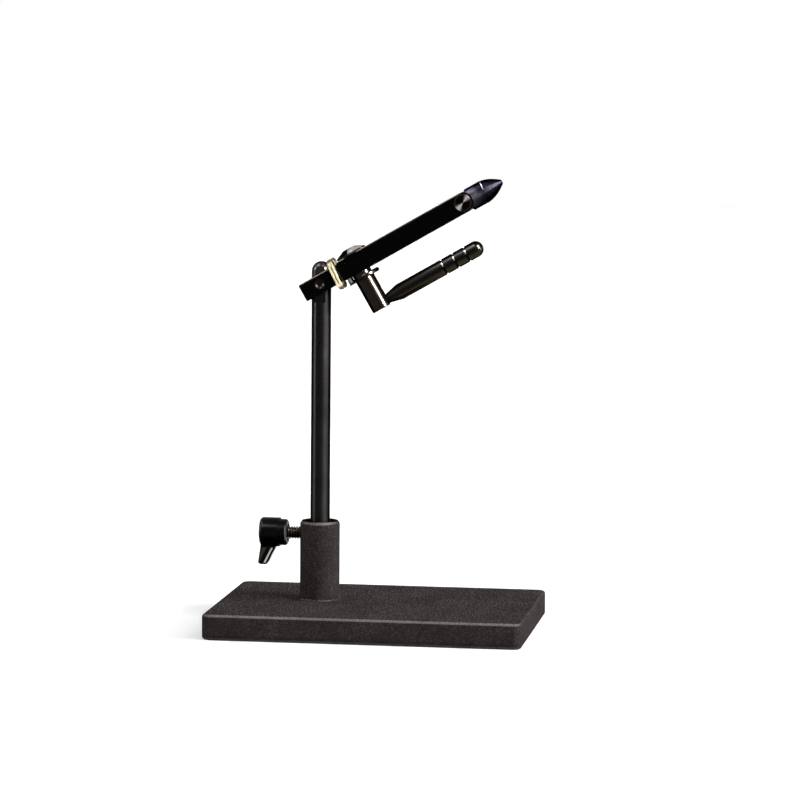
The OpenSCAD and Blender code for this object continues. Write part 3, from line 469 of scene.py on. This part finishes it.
def black_anodising(add, shader, colours):
    """Turned aluminium, polished and anodised black: glossy, with a glassy film over dark metal."""
    feed(shader, {"Metallic": 1.0, "Roughness": 0.2, "Specular Tint": linear("#3a3838")})
    place = head_place(add, 0.0, LEVER_RISE)
    rings = turned_rings(add, place, 0.4 * MM, "X")
    along, _, height = add("SeparateXYZ", (place,), output=None)
    # Painted reflection and shade by height on the lever: the underside is painted a lighter bronze, a painted
    # reflection; a band below the middle and the top edge are painted darkest, and the band above the middle a
    # lighter brown
    level = add("MapRange", (height, -LEVER_RADIUS * MM, LEVER_RADIUS * MM, 0.0, 1.0))
    stops = [(0.0, "#302e23"), (0.26, "#29271d"), (0.38, "#0e0c0b"), (0.54, "#0e0c0b")]
    stops += [(0.64, "#211e1c"), (0.76, "#1d1b1a"), (0.88, "#0b0a0a")]
    film = add("ValToRGB", (level,), stops=stops)
    # The grip grooves are painted dark, a painted shade, with painted glints near their top and along their
    # underside
    count = add("Math", (add("Math", (along, LAST_GROOVE * MM), "SUBTRACT"), GROOVE_PITCH * MM), "DIVIDE")
    phase = add("Math", (add("Math", (count, 0.5), "ADD"),), "FRACT")
    off = add("Math", (add("Math", (phase, 0.5), "SUBTRACT"),), "ABSOLUTE")
    grip = stripe(add, count, -2.4, 0.4, 0.1)
    cut = add("Math", (add("MapRange", (off, 0.05, 0.09, 1.0, 0.0)), grip), "MULTIPLY")
    under = add("MapRange", (height, -3.4 * MM, -3.0 * MM, 0.5, 0.0))
    painted_groove_glints = add("Math", (stripe(add, height, 0.5 * MM, 2.2 * MM, 0.4 * MM), under), "MAXIMUM")
    groove = add("ValToRGB", (painted_groove_glints,), stops=[(0.0, "#070606"), (0.5, "#3d3b38"), (1.0, "#8d8a86")])
    feed(shader, {
        "Base Color": add("Mix", {0: cut, 6: film, 7: groove}, output=2, data_type="RGBA"),
        "Normal": add("Bump", {"Height": rings, "Strength": 0.12, "Distance": 0.03 * MM}),
    })


def natural_rubber(add, shader, colours):
    """Natural rubber, moulded and cut: cream, varying at random, and darker where it bends round the block."""
    feed(shader, {"Roughness": 0.5, "Specular IOR Level": 0.04})
    age = add("TexNoise", {"Vector": object_place(add), "Scale": 1 / (2.2 * MM), "Detail": 3.0})
    tone = add("ValToRGB", (age,), stops=[(0.3, "#cdbc86"), (0.55, colours.rubber), (0.75, "#f0e7c4")])
    # Where it bends over and under the block, away from its front and back faces, it is painted nearly black
    depth = add("Math", (add("SeparateXYZ", (head_place(add),), output="Y"),), "ABSOLUTE")
    darker_at_bends = add("MapRange", (depth, 6.4 * MM, 7.3 * MM, 0.92, 0.0))
    feed(shader, {
        "Base Color": add("Mix", {0: darker_at_bends, 6: tone, 7: linear("#2c2518")}, output=2, data_type="RGBA"),
        "Normal": add("Bump", {"Height": age, "Strength": 0.25, "Distance": 0.08 * MM}),
    })


# The finish of each material slot in the record
FINISHES = {
    "textured_powder_coat": wrinkle_powder_coat,
    "black_acetal": turned_acetal,
    "blackened_screw_steel": salt_blackened_steel,
    "moulded_black_plastic": moulded_nylon,
    "insert_brass": turned_brass,
    "black_oxide_steel": black_oxide_rod,
    "satin_black_steel": milled_black_oxide,
    "bright_steel": bright_turned_steel,
    "blued_jaw_steel": blued_tool_steel,
    "turned_pin_steel": faced_steel,
    "polished_black_steel": polished_black_oxide,
    "black_anodised_aluminium": black_anodising,
    "cream_rubber": natural_rubber,
}
made_finishes = {}


def finish_of(slot_name):
    """The finish of a material slot, made once and named for the material and its process."""
    if slot_name not in made_finishes:
        make = FINISHES[slot_name]
        material = bpy.data.materials.new(make.__name__)
        material.use_nodes = True
        tree = material.node_tree
        make(partial(add_node, tree), tree.nodes["Principled BSDF"], bpy.context.scene.vise_colours)
        made_finishes[slot_name] = material
    return made_finishes[slot_name]


# Pieces


def slot_of(node_name):
    for entry in frame["record"]["subparts"]:
        if entry["node"] == node_name:
            return entry["material_slot"]
    raise RuntimeError(f"the record has no node {node_name}")


def body_of(node_name):
    for body, members in frame["record"]["behaviour"]["bodies"].items():
        if node_name in members:
            return body
    raise RuntimeError(f"no body holds {node_name}")


def place_piece(obj, node_name):
    """Lets a finished piece stand for its CAD node, on the node's body and in its finish."""
    slot_name = slot_of(node_name)
    obj.data.materials.clear()
    obj.data.materials.append(finish_of(slot_name))
    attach(obj, body_of(node_name))
    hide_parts(node_name)


def object_of(name, mesh):
    obj = bpy.data.objects.new(name, mesh)
    bpy.context.scene.collection.objects.link(obj)
    return obj


def apply_modifiers(obj):
    """Turns what the modifiers make into the piece's plain mesh."""
    evaluated = obj.evaluated_get(bpy.context.evaluated_depsgraph_get())
    mesh = bpy.data.meshes.new_from_object(evaluated)
    obj.modifiers.clear()
    obj.data = mesh


def round_off(obj, width):
    """Breaks the sharp edges of a piece by a round."""
    bevel = obj.modifiers.new("round_edges", "BEVEL")
    bevel.width = width
    bevel.segments = 2
    bevel.limit_method = "ANGLE"
    bevel.angle_limit = math.radians(24)
    bevel.harden_normals = True
    apply_modifiers(obj)


def shade(work, sharp_angle):
    """Shades a piece smooth, apart from its edges that bend by more than an angle in degrees."""
    limit = math.radians(sharp_angle)
    for face in work.faces:
        face.smooth = True
    for edge in work.edges:
        edge.smooth = len(edge.link_faces) == 2 and edge.calc_face_angle(0.0) < limit


def smooth_copy(node_name, name, sharp_angle=32.0, round_edges=0.0, reshape=None):
    """A copy of a CAD node with its triangles joined and its curves shaded smooth. Where asked, a
    function reshapes it first, and its sharp edges are broken by a round."""
    mesh = frame["nodes"][node_name].data.copy()
    mesh.name = name
    work = bmesh.new()
    work.from_mesh(mesh)
    bmesh.ops.remove_doubles(work, verts=work.verts, dist=0.002 * MM)
    bmesh.ops.dissolve_limit(
        work, angle_limit=math.radians(0.4), verts=work.verts, edges=work.edges, delimit={"NORMAL"}
    )
    if reshape:
        reshape(work)
    shade(work, sharp_angle)
    work.to_mesh(mesh)
    work.free()
    obj = object_of(name, mesh)
    if round_edges:
        round_off(obj, round_edges)
    place_piece(obj, node_name)


def join_rings(work, rings, closed=False):
    """Faces between each ring of points and the next. A ring of one point is a pole."""
    count = max(len(ring) for ring in rings)
    for here, there in zip(rings, rings[1:] + rings[:1] if closed else rings[1:]):
        for i in range(count):
            k = (i + 1) % count
            corners = here[i % len(here)], here[k % len(here)], there[k % len(there)], there[i % len(there)]
            work.faces.new(list(dict.fromkeys(corners)))


def closed_piece(name, work, sharp_angle=None):
    """Turns a closed piece's faces outwards and makes it an object, shaded smooth where asked."""
    bmesh.ops.recalc_face_normals(work, faces=work.faces)
    if sharp_angle:
        shade(work, sharp_angle)
    mesh = bpy.data.meshes.new(name)
    work.to_mesh(mesh)
    work.free()
    return object_of(name, mesh)


def round_mouth(radius, work):
    """Rounds the outer rim of the tube's mouth: cuts its wall at a few heights and moves each ring
    of points in to the round."""
    low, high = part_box("socket_tube")
    middle = (low + high) / 2
    outer = (high.x - low.x) / 2
    # Points nearer to the outside than this are the wall's, and the others the bore's
    near_wall = 0.7 * MM
    for step in range(6):
        height = high.z - radius + radius * math.sin(math.radians(15 * step))
        bmesh.ops.bisect_plane(
            work, geom=work.verts[:] + work.edges[:] + work.faces[:], dist=0.001 * MM,
            plane_co=(0, 0, height), plane_no=(0, 0, 1),
        )
    for vert in work.verts:
        flat = vert.co.xy - middle.xy
        rise = vert.co.z - (high.z - radius)
        if rise >= 0 and flat.length > outer - near_wall:
            wanted = outer - radius + math.sqrt(max(0.0, radius**2 - rise**2))
            vert.co.xy = middle.xy + flat.normalized() * wanted


def rounded_slab(name, box, corner, top_round, foot_round):
    """A plate with round corners and rounds along its top and its foot."""
    low, high = box
    turns = [math.radians(22.5 * step) for step in range(5)]
    # Pairs of height and inset, from the foot up
    sections = [
        (low.z + foot_round * (1 - math.sin(t)), foot_round * (1 - math.cos(t))) for t in reversed(turns)
    ]
    sections += [(high.z - top_round * (1 - math.sin(t)), top_round * (1 - math.cos(t))) for t in turns]
    middles = [
        Vector((high.x - corner, high.y - corner)), Vector((low.x + corner, high.y - corner)),
        Vector((low.x + corner, low.y + corner)), Vector((high.x - corner, low.y + corner)),
    ]
    work = bmesh.new()
    rings = []
    for height, inset in sections:
        rings.append([])
        for quarter, middle in enumerate(middles):
            for step in range(9):
                angle = quarter * math.pi / 2 + step * math.pi / 16
                point = middle + (corner - inset) * Vector((math.cos(angle), math.sin(angle)))
                rings[-1].append(work.verts.new((*point, height)))
    join_rings(work, rings)
    work.faces.new(rings[0])
    work.faces.new(rings[-1])
    plate = closed_piece(name, work, 180)
    plate.modifiers.new("even_faces", "WEIGHTED_NORMAL").keep_sharp = True
    apply_modifiers(plate)
    return plate


def facet_cap(name):
    """The cap nut with its six facets, one of them towards the front, and its key hole."""
    back = Matrix.Rotation(HEAD_TILT, 3, "Y")
    points = [back @ (v.co - PIVOT) / MM for v in frame["nodes"]["cap_nut"].data.vertices]
    low, high = (Vector([pick(p[i] for p in points) for i in range(3)]) for pick in (min, max))
    middle = (low + high) / 2
    radius = (high.x - low.x) / 2
    # A quarter of its height is upright; the rest slopes in to a small flat with the hole
    upright = (high.z - low.z) / 4
    top_reach, hole_reach, hole_depth = 3.1, 1.9, 1.4
    first_corner = -93
    sections = [
        (low.z, radius), (low.z + upright, radius), (high.z, top_reach),
        (high.z, hole_reach), (high.z - hole_depth, hole_reach),
    ]
    work = bmesh.new()
    rings = []
    for height, reach in sections:
        turns = [math.radians(60 * corner + first_corner) for corner in range(6)]
        rings.append([
            work.verts.new(on_head(middle.x + reach * math.cos(t), middle.y + reach * math.sin(t), height))
            for t in turns
        ])
    join_rings(work, rings)
    work.faces.new(rings[0])
    work.faces.new(rings[-1])
    cap = closed_piece(name, work)
    round_off(cap, width=0.22 * MM)
    return cap


def turned_piece(name, profile, count=64):
    """A closed piece turned round the Y axis from pairs of radius and depth."""
    work = bmesh.new()
    rings = []
    for radius, depth in profile:
        turns = [math.tau * i / count for i in range(count if radius else 1)]
        rings.append([work.verts.new((radius * math.cos(t), depth, radius * math.sin(t))) for t in turns])
    join_rings(work, rings)
    return closed_piece(name, work, 32)


def weld_bead(name, sizes):
    """A closed ring with the slow ripples that a hand-held torch leaves in the bead."""
    low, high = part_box("foot_weld")
    middle = (low + high) / 2
    tube_radius = (high.x - low.x) / 2 - sizes.weld_leg
    work = bmesh.new()
    rings = []
    count = 4 * sizes.weld_ripples
    for i in range(count):
        turn = math.tau * i / count
        ripple = 0.92 + 0.08 * math.sin(sizes.weld_ripples * turn) * math.sin(7 * turn + 1)
        leg = sizes.weld_leg * ripple
        # From the corner out along the base, then up the hollow face to the tube
        section = [(0.0, 0.0), (leg, 0.0), (leg * 0.52, leg * 0.2), (leg * 0.2, leg * 0.52), (0.0, leg)]
        rings.append([
            work.verts.new((
                middle.x + (tube_radius + out) * math.cos(turn),
                middle.y + (tube_radius + out) * math.sin(turn),
                low.z + rise,
            ))
            for out, rise in section
        ])
    join_rings(work, rings, closed=True)
    return closed_piece(name, work, 180)


def cap_screw(name):
    """The pivot screw, turned with a dished head whose slope catches light from above."""
    low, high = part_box("pivot_screw")
    head = (high.z - low.z) / 2
    shank = head * 0.6
    head_height, dish_depth = 1.9 * MM, 1.1 * MM
    length = high.y - low.y
    profile = [
        (0.0, dish_depth), (head * 0.5, dish_depth), (head * 0.52, 0.6 * MM), (head * 0.8, 0.12 * MM),
        (head * 0.9, 0.0), (head, 0.12 * MM), (head, head_height), (shank, head_height),
        (shank, length), (0.0, length),
    ]
    screw = turned_piece(name, profile)
    middle = (low + high) / 2
    screw.data.transform(Matrix.Translation((middle.x, low.y, middle.z)))
    return screw


# Geometry Nodes


def geometry_tree(name, sizes):
    """A Geometry Nodes tree with its named sizes, the function that adds to it, and its inputs."""
    tree = bpy.data.node_groups.new(name, "GeometryNodeTree")
    tree.interface.new_socket("Geometry", in_out="INPUT", socket_type="NodeSocketGeometry")
    for size in sizes:
        tree.interface.new_socket(size, in_out="INPUT", socket_type="NodeSocketFloat")
    tree.interface.new_socket("Geometry", in_out="OUTPUT", socket_type="NodeSocketGeometry")
    add = partial(add_node, tree)
    return tree, add, add("NodeGroupInput", output=None)


def end_tree(add, geometry, finish):
    """Realize Instances, Set Material and the output, which end every tree here."""
    real = add("GeometryNodeRealizeInstances", (geometry,))
    painted = add("GeometryNodeSetMaterial", {"Geometry": real, "Material": finish})
    add("NodeGroupOutput", (painted,), output=None)


def grown_piece(name, mesh, tree, values):
    """Runs a Geometry Nodes tree on a mesh and keeps its result as a plain mesh."""
    obj = object_of(name, mesh)
    modifier = obj.modifiers.new(tree.name, "NODES")
    modifier.node_group = tree
    for item in tree.interface.items_tree:
        if item.item_type == "SOCKET" and item.in_out == "INPUT" and item.name in values:
            modifier[item.identifier] = values[item.name]
    apply_modifiers(obj)
    return obj


def thread_tree(finish):
    """A bolt's thread: a cylinder whose wall moves in where the helix leaves the groove."""
    tree, add, given = geometry_tree("screw_thread", ("Radius", "Length", "Pitch", "Depth"))
    rod = add(
        "GeometryNodeMeshCylinder",
        {"Vertices": 72, "Side Segments": 220, "Radius": given["Radius"], "Depth": given["Length"]},
        output="Mesh", fill_type="NGON",
    )
    x, y, z = add("SeparateXYZ", (add("GeometryNodeInputPosition"),), output=None)
    turn = add("Math", (add("Math", (y, x), "ARCTAN2"), math.tau), "DIVIDE")
    pitches = add("Math", (z, given["Pitch"]), "DIVIDE")
    phase = add("Math", (add("Math", (pitches, turn), "SUBTRACT"),), "FRACT")
    # The flank rises and falls as a triangle; its crest and root are cut flat
    flank = add("Math", (add("Math", (phase, 0.5), "SUBTRACT"),), "ABSOLUTE")
    flat = 0.07
    share = add("MapRange", (flank, flat, 0.5 - flat, 1.0, 0.0))
    inner = add("Math", (given["Radius"], add("Math", (share, given["Depth"]), "MULTIPLY")), "SUBTRACT")
    factor = add("Math", (inner, given["Radius"]), "DIVIDE")
    moved = add("CombineXYZ", (add("Math", (x, factor), "MULTIPLY"), add("Math", (y, factor), "MULTIPLY"), z))
    end_tree(add, add("GeometryNodeSetPosition", {"Geometry": rod, "Position": moved}), finish)
    return tree


def strand_tree(finish):
    """The band's strand: a round section swept along its path."""
    tree, add, given = geometry_tree("rubber_strand", ("Radius", "Unevenness"))
    path = add("GeometryNodeMeshToCurve", {"Mesh": given["Geometry"]})
    waver = add("TexNoise", {"Vector": add("GeometryNodeInputPosition"), "Scale": 1 / (3 * MM), "Detail": 1.0})
    swing = add("Math", (add("Math", (waver, 0.5), "SUBTRACT"), given["Unevenness"]), "MULTIPLY")
    size = add("Math", (swing, 1.0), "ADD")
    sized = add("GeometryNodeSetCurveRadius", {"Curve": path, "Radius": size})
    section = add("GeometryNodeCurvePrimitiveCircle", {"Resolution": 16, "Radius": given["Radius"]})
    swept = add("GeometryNodeCurveToMesh", {"Curve": sized, "Profile Curve": section, "Scale": size})
    end_tree(add, add("GeometryNodeSetShadeSmooth", (swept,)), finish)
    return tree


def band_path(sizes):
    """Points of the band's middle line: twice round the block, side by side in front, changing
    places behind. It is the path of the CAD model's band, in millimetres, with more points."""
    half_width, half_height, reach, rise, lean = 7.7, 7.2, 8.9, 0.35, math.radians(4)
    pitch = (sizes.strand_thickness + sizes.strand_gap) / MM
    cross_rise = pitch / 2 - 0.05
    # The strands change places over this part of the way round, in degrees
    cross_start, cross_span = 100, 160
    count = 160
    points = []
    for i in range(2 * count):
        lap, angle = divmod(360 * i / count, 360)
        turn = math.radians(angle)
        fourth = (math.cos(turn) / half_width) ** 4 + (math.sin(turn) / half_height) ** 4
        path_radius = fourth ** -0.25 + cross_rise * ((1 - math.cos(turn)) / 2) ** 3
        crossed = max(0.0, min(1.0, (angle - cross_start) / cross_span))
        twist = math.pi * (lap + crossed**2 * (3 - 2 * crossed))
        radius = path_radius + pitch / 2 * math.sin(twist)
        up = radius * math.sin(turn)
        along = reach + up * math.tan(lean) + pitch / 2 * math.cos(twist)
        points.append(on_head(along, -radius * math.cos(turn), rise + up))
    return points


# Operators: one for each piece or group, and one for the studio


class VISE_OT_build_studio(bpy.types.Operator):
    """Pale floor, soft panels, an even surround and the camera"""

    bl_idname = "vise.build_studio"
    bl_label = "Build studio"

    def execute(self, context):
        scene = context.scene
        studio = scene.vise_studio
        self.lay_floor()
        for name, towards, along, size, setting, factor in PANELS:
            strength = factor * getattr(studio, setting)
            self.hang_panel(scene, name, towards, along, size, strength, setting == "scrim")
        self.fill_world(scene)
        self.set_camera(scene, studio)
        scene.view_settings.view_transform = "Standard"
        return {"FINISHED"}

    def lay_floor(self):
        """White paper, a hair under the base. What the camera and mirrors see of it is lifted to
        white, and shadows stay in it."""
        mesh = bpy.data.meshes.new("studio_floor")
        size, level = 4.0, -0.05 * MM
        corners = [(-size, -size, level), (size, -size, level), (size, size, level), (-size, size, level)]
        mesh.from_pydata(corners, [], [(0, 1, 2, 3)])
        floor = object_of("studio_floor", mesh)
        material = bpy.data.materials.new("studio_paper")
        material.use_nodes = True
        material.node_tree.nodes.clear()
        add = partial(add_node, material.node_tree)
        lift = add("Math", (self.seen_rays(add), 0.4), "MULTIPLY")
        paper = add("BsdfDiffuse", {"Color": linear("#e8e8e8")})
        glow = add("Emission", {"Color": (1, 1, 1, 1), "Strength": lift})
        add("OutputMaterial", {"Surface": add("AddShader", (paper, glow))}, output=None)
        mesh.materials.append(material)

    def seen_rays(self, add):
        """1 for camera, glossy and transmission rays, and 0 for the others."""
        ray = add("LightPath", output=None)
        mirrored = add("Math", (ray["Is Glossy Ray"], ray["Is Transmission Ray"]), "MAXIMUM")
        return add("Math", (ray["Is Camera Ray"], mirrored), "MAXIMUM")

    def hang_panel(self, scene, name, towards, along, size, strength, gloss_only):
        """A soft box seen in a direction, with its long side along another. Its strength is the
        light per area that falls on a surface facing it."""
        axes = self.camera_axes(scene.vise_studio)
        lamp_z = (axes @ Vector(towards)).normalized()
        lamp_x = (axes @ Vector(along)).cross(lamp_z).normalized()
        turn = Matrix((lamp_x, lamp_z.cross(lamp_x), lamp_z)).transposed()
        data = bpy.data.lights.new(name, "AREA")
        data.shape = "RECTANGLE"
        data.size, data.size_y = size
        data.energy = strength * math.pi * PANEL_DISTANCE**2
        lamp = bpy.data.objects.new(name, data)
        lamp.matrix_world = Matrix.Translation(STEM_MIDDLE + lamp_z * PANEL_DISTANCE) @ turn.to_4x4()
        lamp.visible_diffuse = not gloss_only
        scene.collection.objects.link(lamp)

    def fill_world(self, scene):
        """An even surround: white where it is seen, and a third as strong on the surfaces."""
        world = bpy.data.worlds.new("studio_surround")
        world.use_nodes = True
        world.node_tree.nodes.clear()
        add = partial(add_node, world.node_tree)
        level = add("MapRange", (self.seen_rays(add), 0.0, 1.0, 0.35, 1.0))
        glow = add("Background", {"Color": (1, 1, 1, 1), "Strength": level})
        add("OutputWorld", {"Surface": glow}, output=None)
        scene.world = world

    def camera_axes(self, studio):
        """The camera's right, up and backward directions, as the columns of a matrix."""
        yaw, pitch, roll = studio.camera_turn
        forward = Vector((-math.sin(yaw) * math.cos(pitch), math.cos(yaw) * math.cos(pitch), -math.sin(pitch)))
        right = Vector((math.cos(yaw), math.sin(yaw), 0))
        up = right.cross(forward)
        across = right * math.cos(roll) + up * math.sin(roll)
        upright = up * math.cos(roll) - right * math.sin(roll)
        return Matrix((across, upright, -forward)).transposed()

    def set_camera(self, scene, studio):
        data = bpy.data.cameras.new("photo_camera")
        data.lens = studio.lens
        data.sensor_width = 36
        data.clip_end = 100
        camera = bpy.data.objects.new("photo_camera", data)
        turn = self.camera_axes(studio).to_4x4()
        camera.matrix_world = Matrix.Translation(Vector(studio.camera_place)) @ turn
        scene.collection.objects.link(camera)
        scene.camera = camera


class VISE_OT_coat_stand(bpy.types.Operator):
    """Base plate and socket tube in their powder coat, with the bead between them"""

    bl_idname = "vise.coat_stand"
    bl_label = "Coat stand"

    def execute(self, context):
        sizes = context.scene.vise_sizes
        rounds = sizes.base_corner, sizes.base_top_round, sizes.base_foot_round
        place_piece(rounded_slab("coated_base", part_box("base_plate"), *rounds), "base_plate")
        smooth_copy("socket_tube", "coated_tube", reshape=partial(round_mouth, sizes.mouth_round))
        place_piece(weld_bead("weld_bead", sizes), "foot_weld")
        return {"FINISHED"}


class VISE_OT_blacken_stem(bpy.types.Operator):
    """Stem and its bush"""

    bl_idname = "vise.blacken_stem"
    bl_label = "Blacken stem"

    def execute(self, context):
        smooth_copy("stem", "stem_rod")
        smooth_copy("stem_bush", "turned_bush")
        return {"FINISHED"}


class VISE_OT_cut_thumb_screw(bpy.types.Operator):
    """Thumb screw: its cut thread, its moulded knob with the wing, and the insert"""

    bl_idname = "vise.cut_thumb_screw"
    bl_label = "Cut thumb screw"

    def execute(self, context):
        sizes = context.scene.vise_sizes
        low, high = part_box("thumb_screw_stud")
        values = {
            "Radius": (high.z - low.z) / 2, "Length": high.x - low.x,
            "Pitch": sizes.thread_pitch, "Depth": sizes.thread_depth,
        }
        tree = thread_tree(finish_of("blackened_screw_steel"))
        screw = grown_piece("screw_thread", bpy.data.meshes.new("screw_thread"), tree, values)
        turn = Matrix.Rotation(math.radians(-90), 4, "Y")
        screw.data.transform(Matrix.Translation((low + high) / 2) @ turn)
        screw.data.shade_flat()
        place_piece(screw, "thumb_screw_stud")
        smooth_copy("thumb_knob", "moulded_knob", round_edges=0.2 * MM)
        smooth_copy("knob_insert", "threaded_insert")
        return {"FINISHED"}


class VISE_OT_dress_head(bpy.types.Operator):
    """Head block with its pivot screw, rivets and stop pin"""

    bl_idname = "vise.dress_head"
    bl_label = "Dress head"

    def execute(self, context):
        smooth_copy("head_block", "milled_block")
        place_piece(cap_screw("cap_screw"), "pivot_screw")
        smooth_copy("arm_rivets", "flush_rivets")
        smooth_copy("stop_pin", "stop_dowel")
        return {"FINISHED"}


class VISE_OT_dress_arms(bpy.types.Operator):
    """Both spring arms with their jaws and jaw pins"""

    bl_idname = "vise.dress_arms"
    bl_label = "Dress arms"

    def execute(self, context):
        for side in ("near", "far"):
            smooth_copy(f"{side}_arm", f"{side}_spring_arm")
            smooth_copy(f"{side}_jaw", f"{side}_turned_jaw", sharp_angle=24)
            smooth_copy(f"{side}_jaw_pin", f"{side}_faced_pin")
        return {"FINISHED"}


class VISE_OT_dress_lever(bpy.types.Operator):
    """Cam shaft with washer, barrel and cap nut, and the lever with its stud"""

    bl_idname = "vise.dress_lever"
    bl_label = "Dress lever"

    def execute(self, context):
        smooth_copy("cam_shaft", "ground_cam")
        smooth_copy("thrust_washer", "turned_washer")
        smooth_copy("barrel", "polished_barrel")
        place_piece(facet_cap("faceted_cap_nut"), "cap_nut")
        smooth_copy("lever_stud", "plain_stud")
        smooth_copy("lever_handle", "turned_lever")
        return {"FINISHED"}


class VISE_OT_wind_band(bpy.types.Operator):
    """Rubber band, wound twice round the head block"""

    bl_idname = "vise.wind_band"
    bl_label = "Wind rubber band"

    def execute(self, context):
        sizes = context.scene.vise_sizes
        points = band_path(sizes)
        mesh = bpy.data.meshes.new("wound_band")
        mesh.from_pydata(points, [(i, (i + 1) % len(points)) for i in range(len(points))], [])
        tree = strand_tree(finish_of("cream_rubber"))
        band = grown_piece("wound_band", mesh, tree, {"Radius": sizes.strand_thickness / 2, "Unevenness": 0.08})
        place_piece(band, "rubber_band")
        return {"FINISHED"}


class VISE_PT_workshop(bpy.types.Panel):
    """Lists the steps and their sizes in the sidebar"""

    bl_label = "Fly Tying Vise"
    bl_idname = "VISE_PT_workshop"
    bl_space_type = "VIEW_3D"
    bl_region_type = "UI"
    bl_category = "Vise"

    def draw(self, context):
        column = self.layout.column()
        for group in (context.scene.vise_sizes, context.scene.vise_colours, context.scene.vise_studio):
            for key in group.__annotations__:
                column.prop(group, key)
        for step in STEPS:
            column.operator(step.bl_idname)


STEPS = (
    VISE_OT_build_studio,
    VISE_OT_coat_stand,
    VISE_OT_blacken_stem,
    VISE_OT_cut_thumb_screw,
    VISE_OT_dress_head,
    VISE_OT_dress_arms,
    VISE_OT_dress_lever,
    VISE_OT_wind_band,
)
CLASSES = (ViseSizes, ViseColours, StudioSettings) + STEPS + (VISE_PT_workshop,)


def register():
    for cls in CLASSES:
        bpy.utils.register_class(cls)
    bpy.types.Scene.vise_sizes = PointerProperty(type=ViseSizes)
    bpy.types.Scene.vise_colours = PointerProperty(type=ViseColours)
    bpy.types.Scene.vise_studio = PointerProperty(type=StudioSettings)


def unregister():
    del bpy.types.Scene.vise_studio
    del bpy.types.Scene.vise_colours
    del bpy.types.Scene.vise_sizes
    for cls in reversed(CLASSES):
        bpy.utils.unregister_class(cls)


def main():
    """Runs every step in order."""
    register()
    bpy.ops.vise.build_studio()
    bpy.ops.vise.coat_stand()
    bpy.ops.vise.blacken_stem()
    bpy.ops.vise.cut_thumb_screw()
    bpy.ops.vise.dress_head()
    bpy.ops.vise.dress_arms()
    bpy.ops.vise.dress_lever()
    bpy.ops.vise.wind_band()


if __name__ == "__main__":
    main()
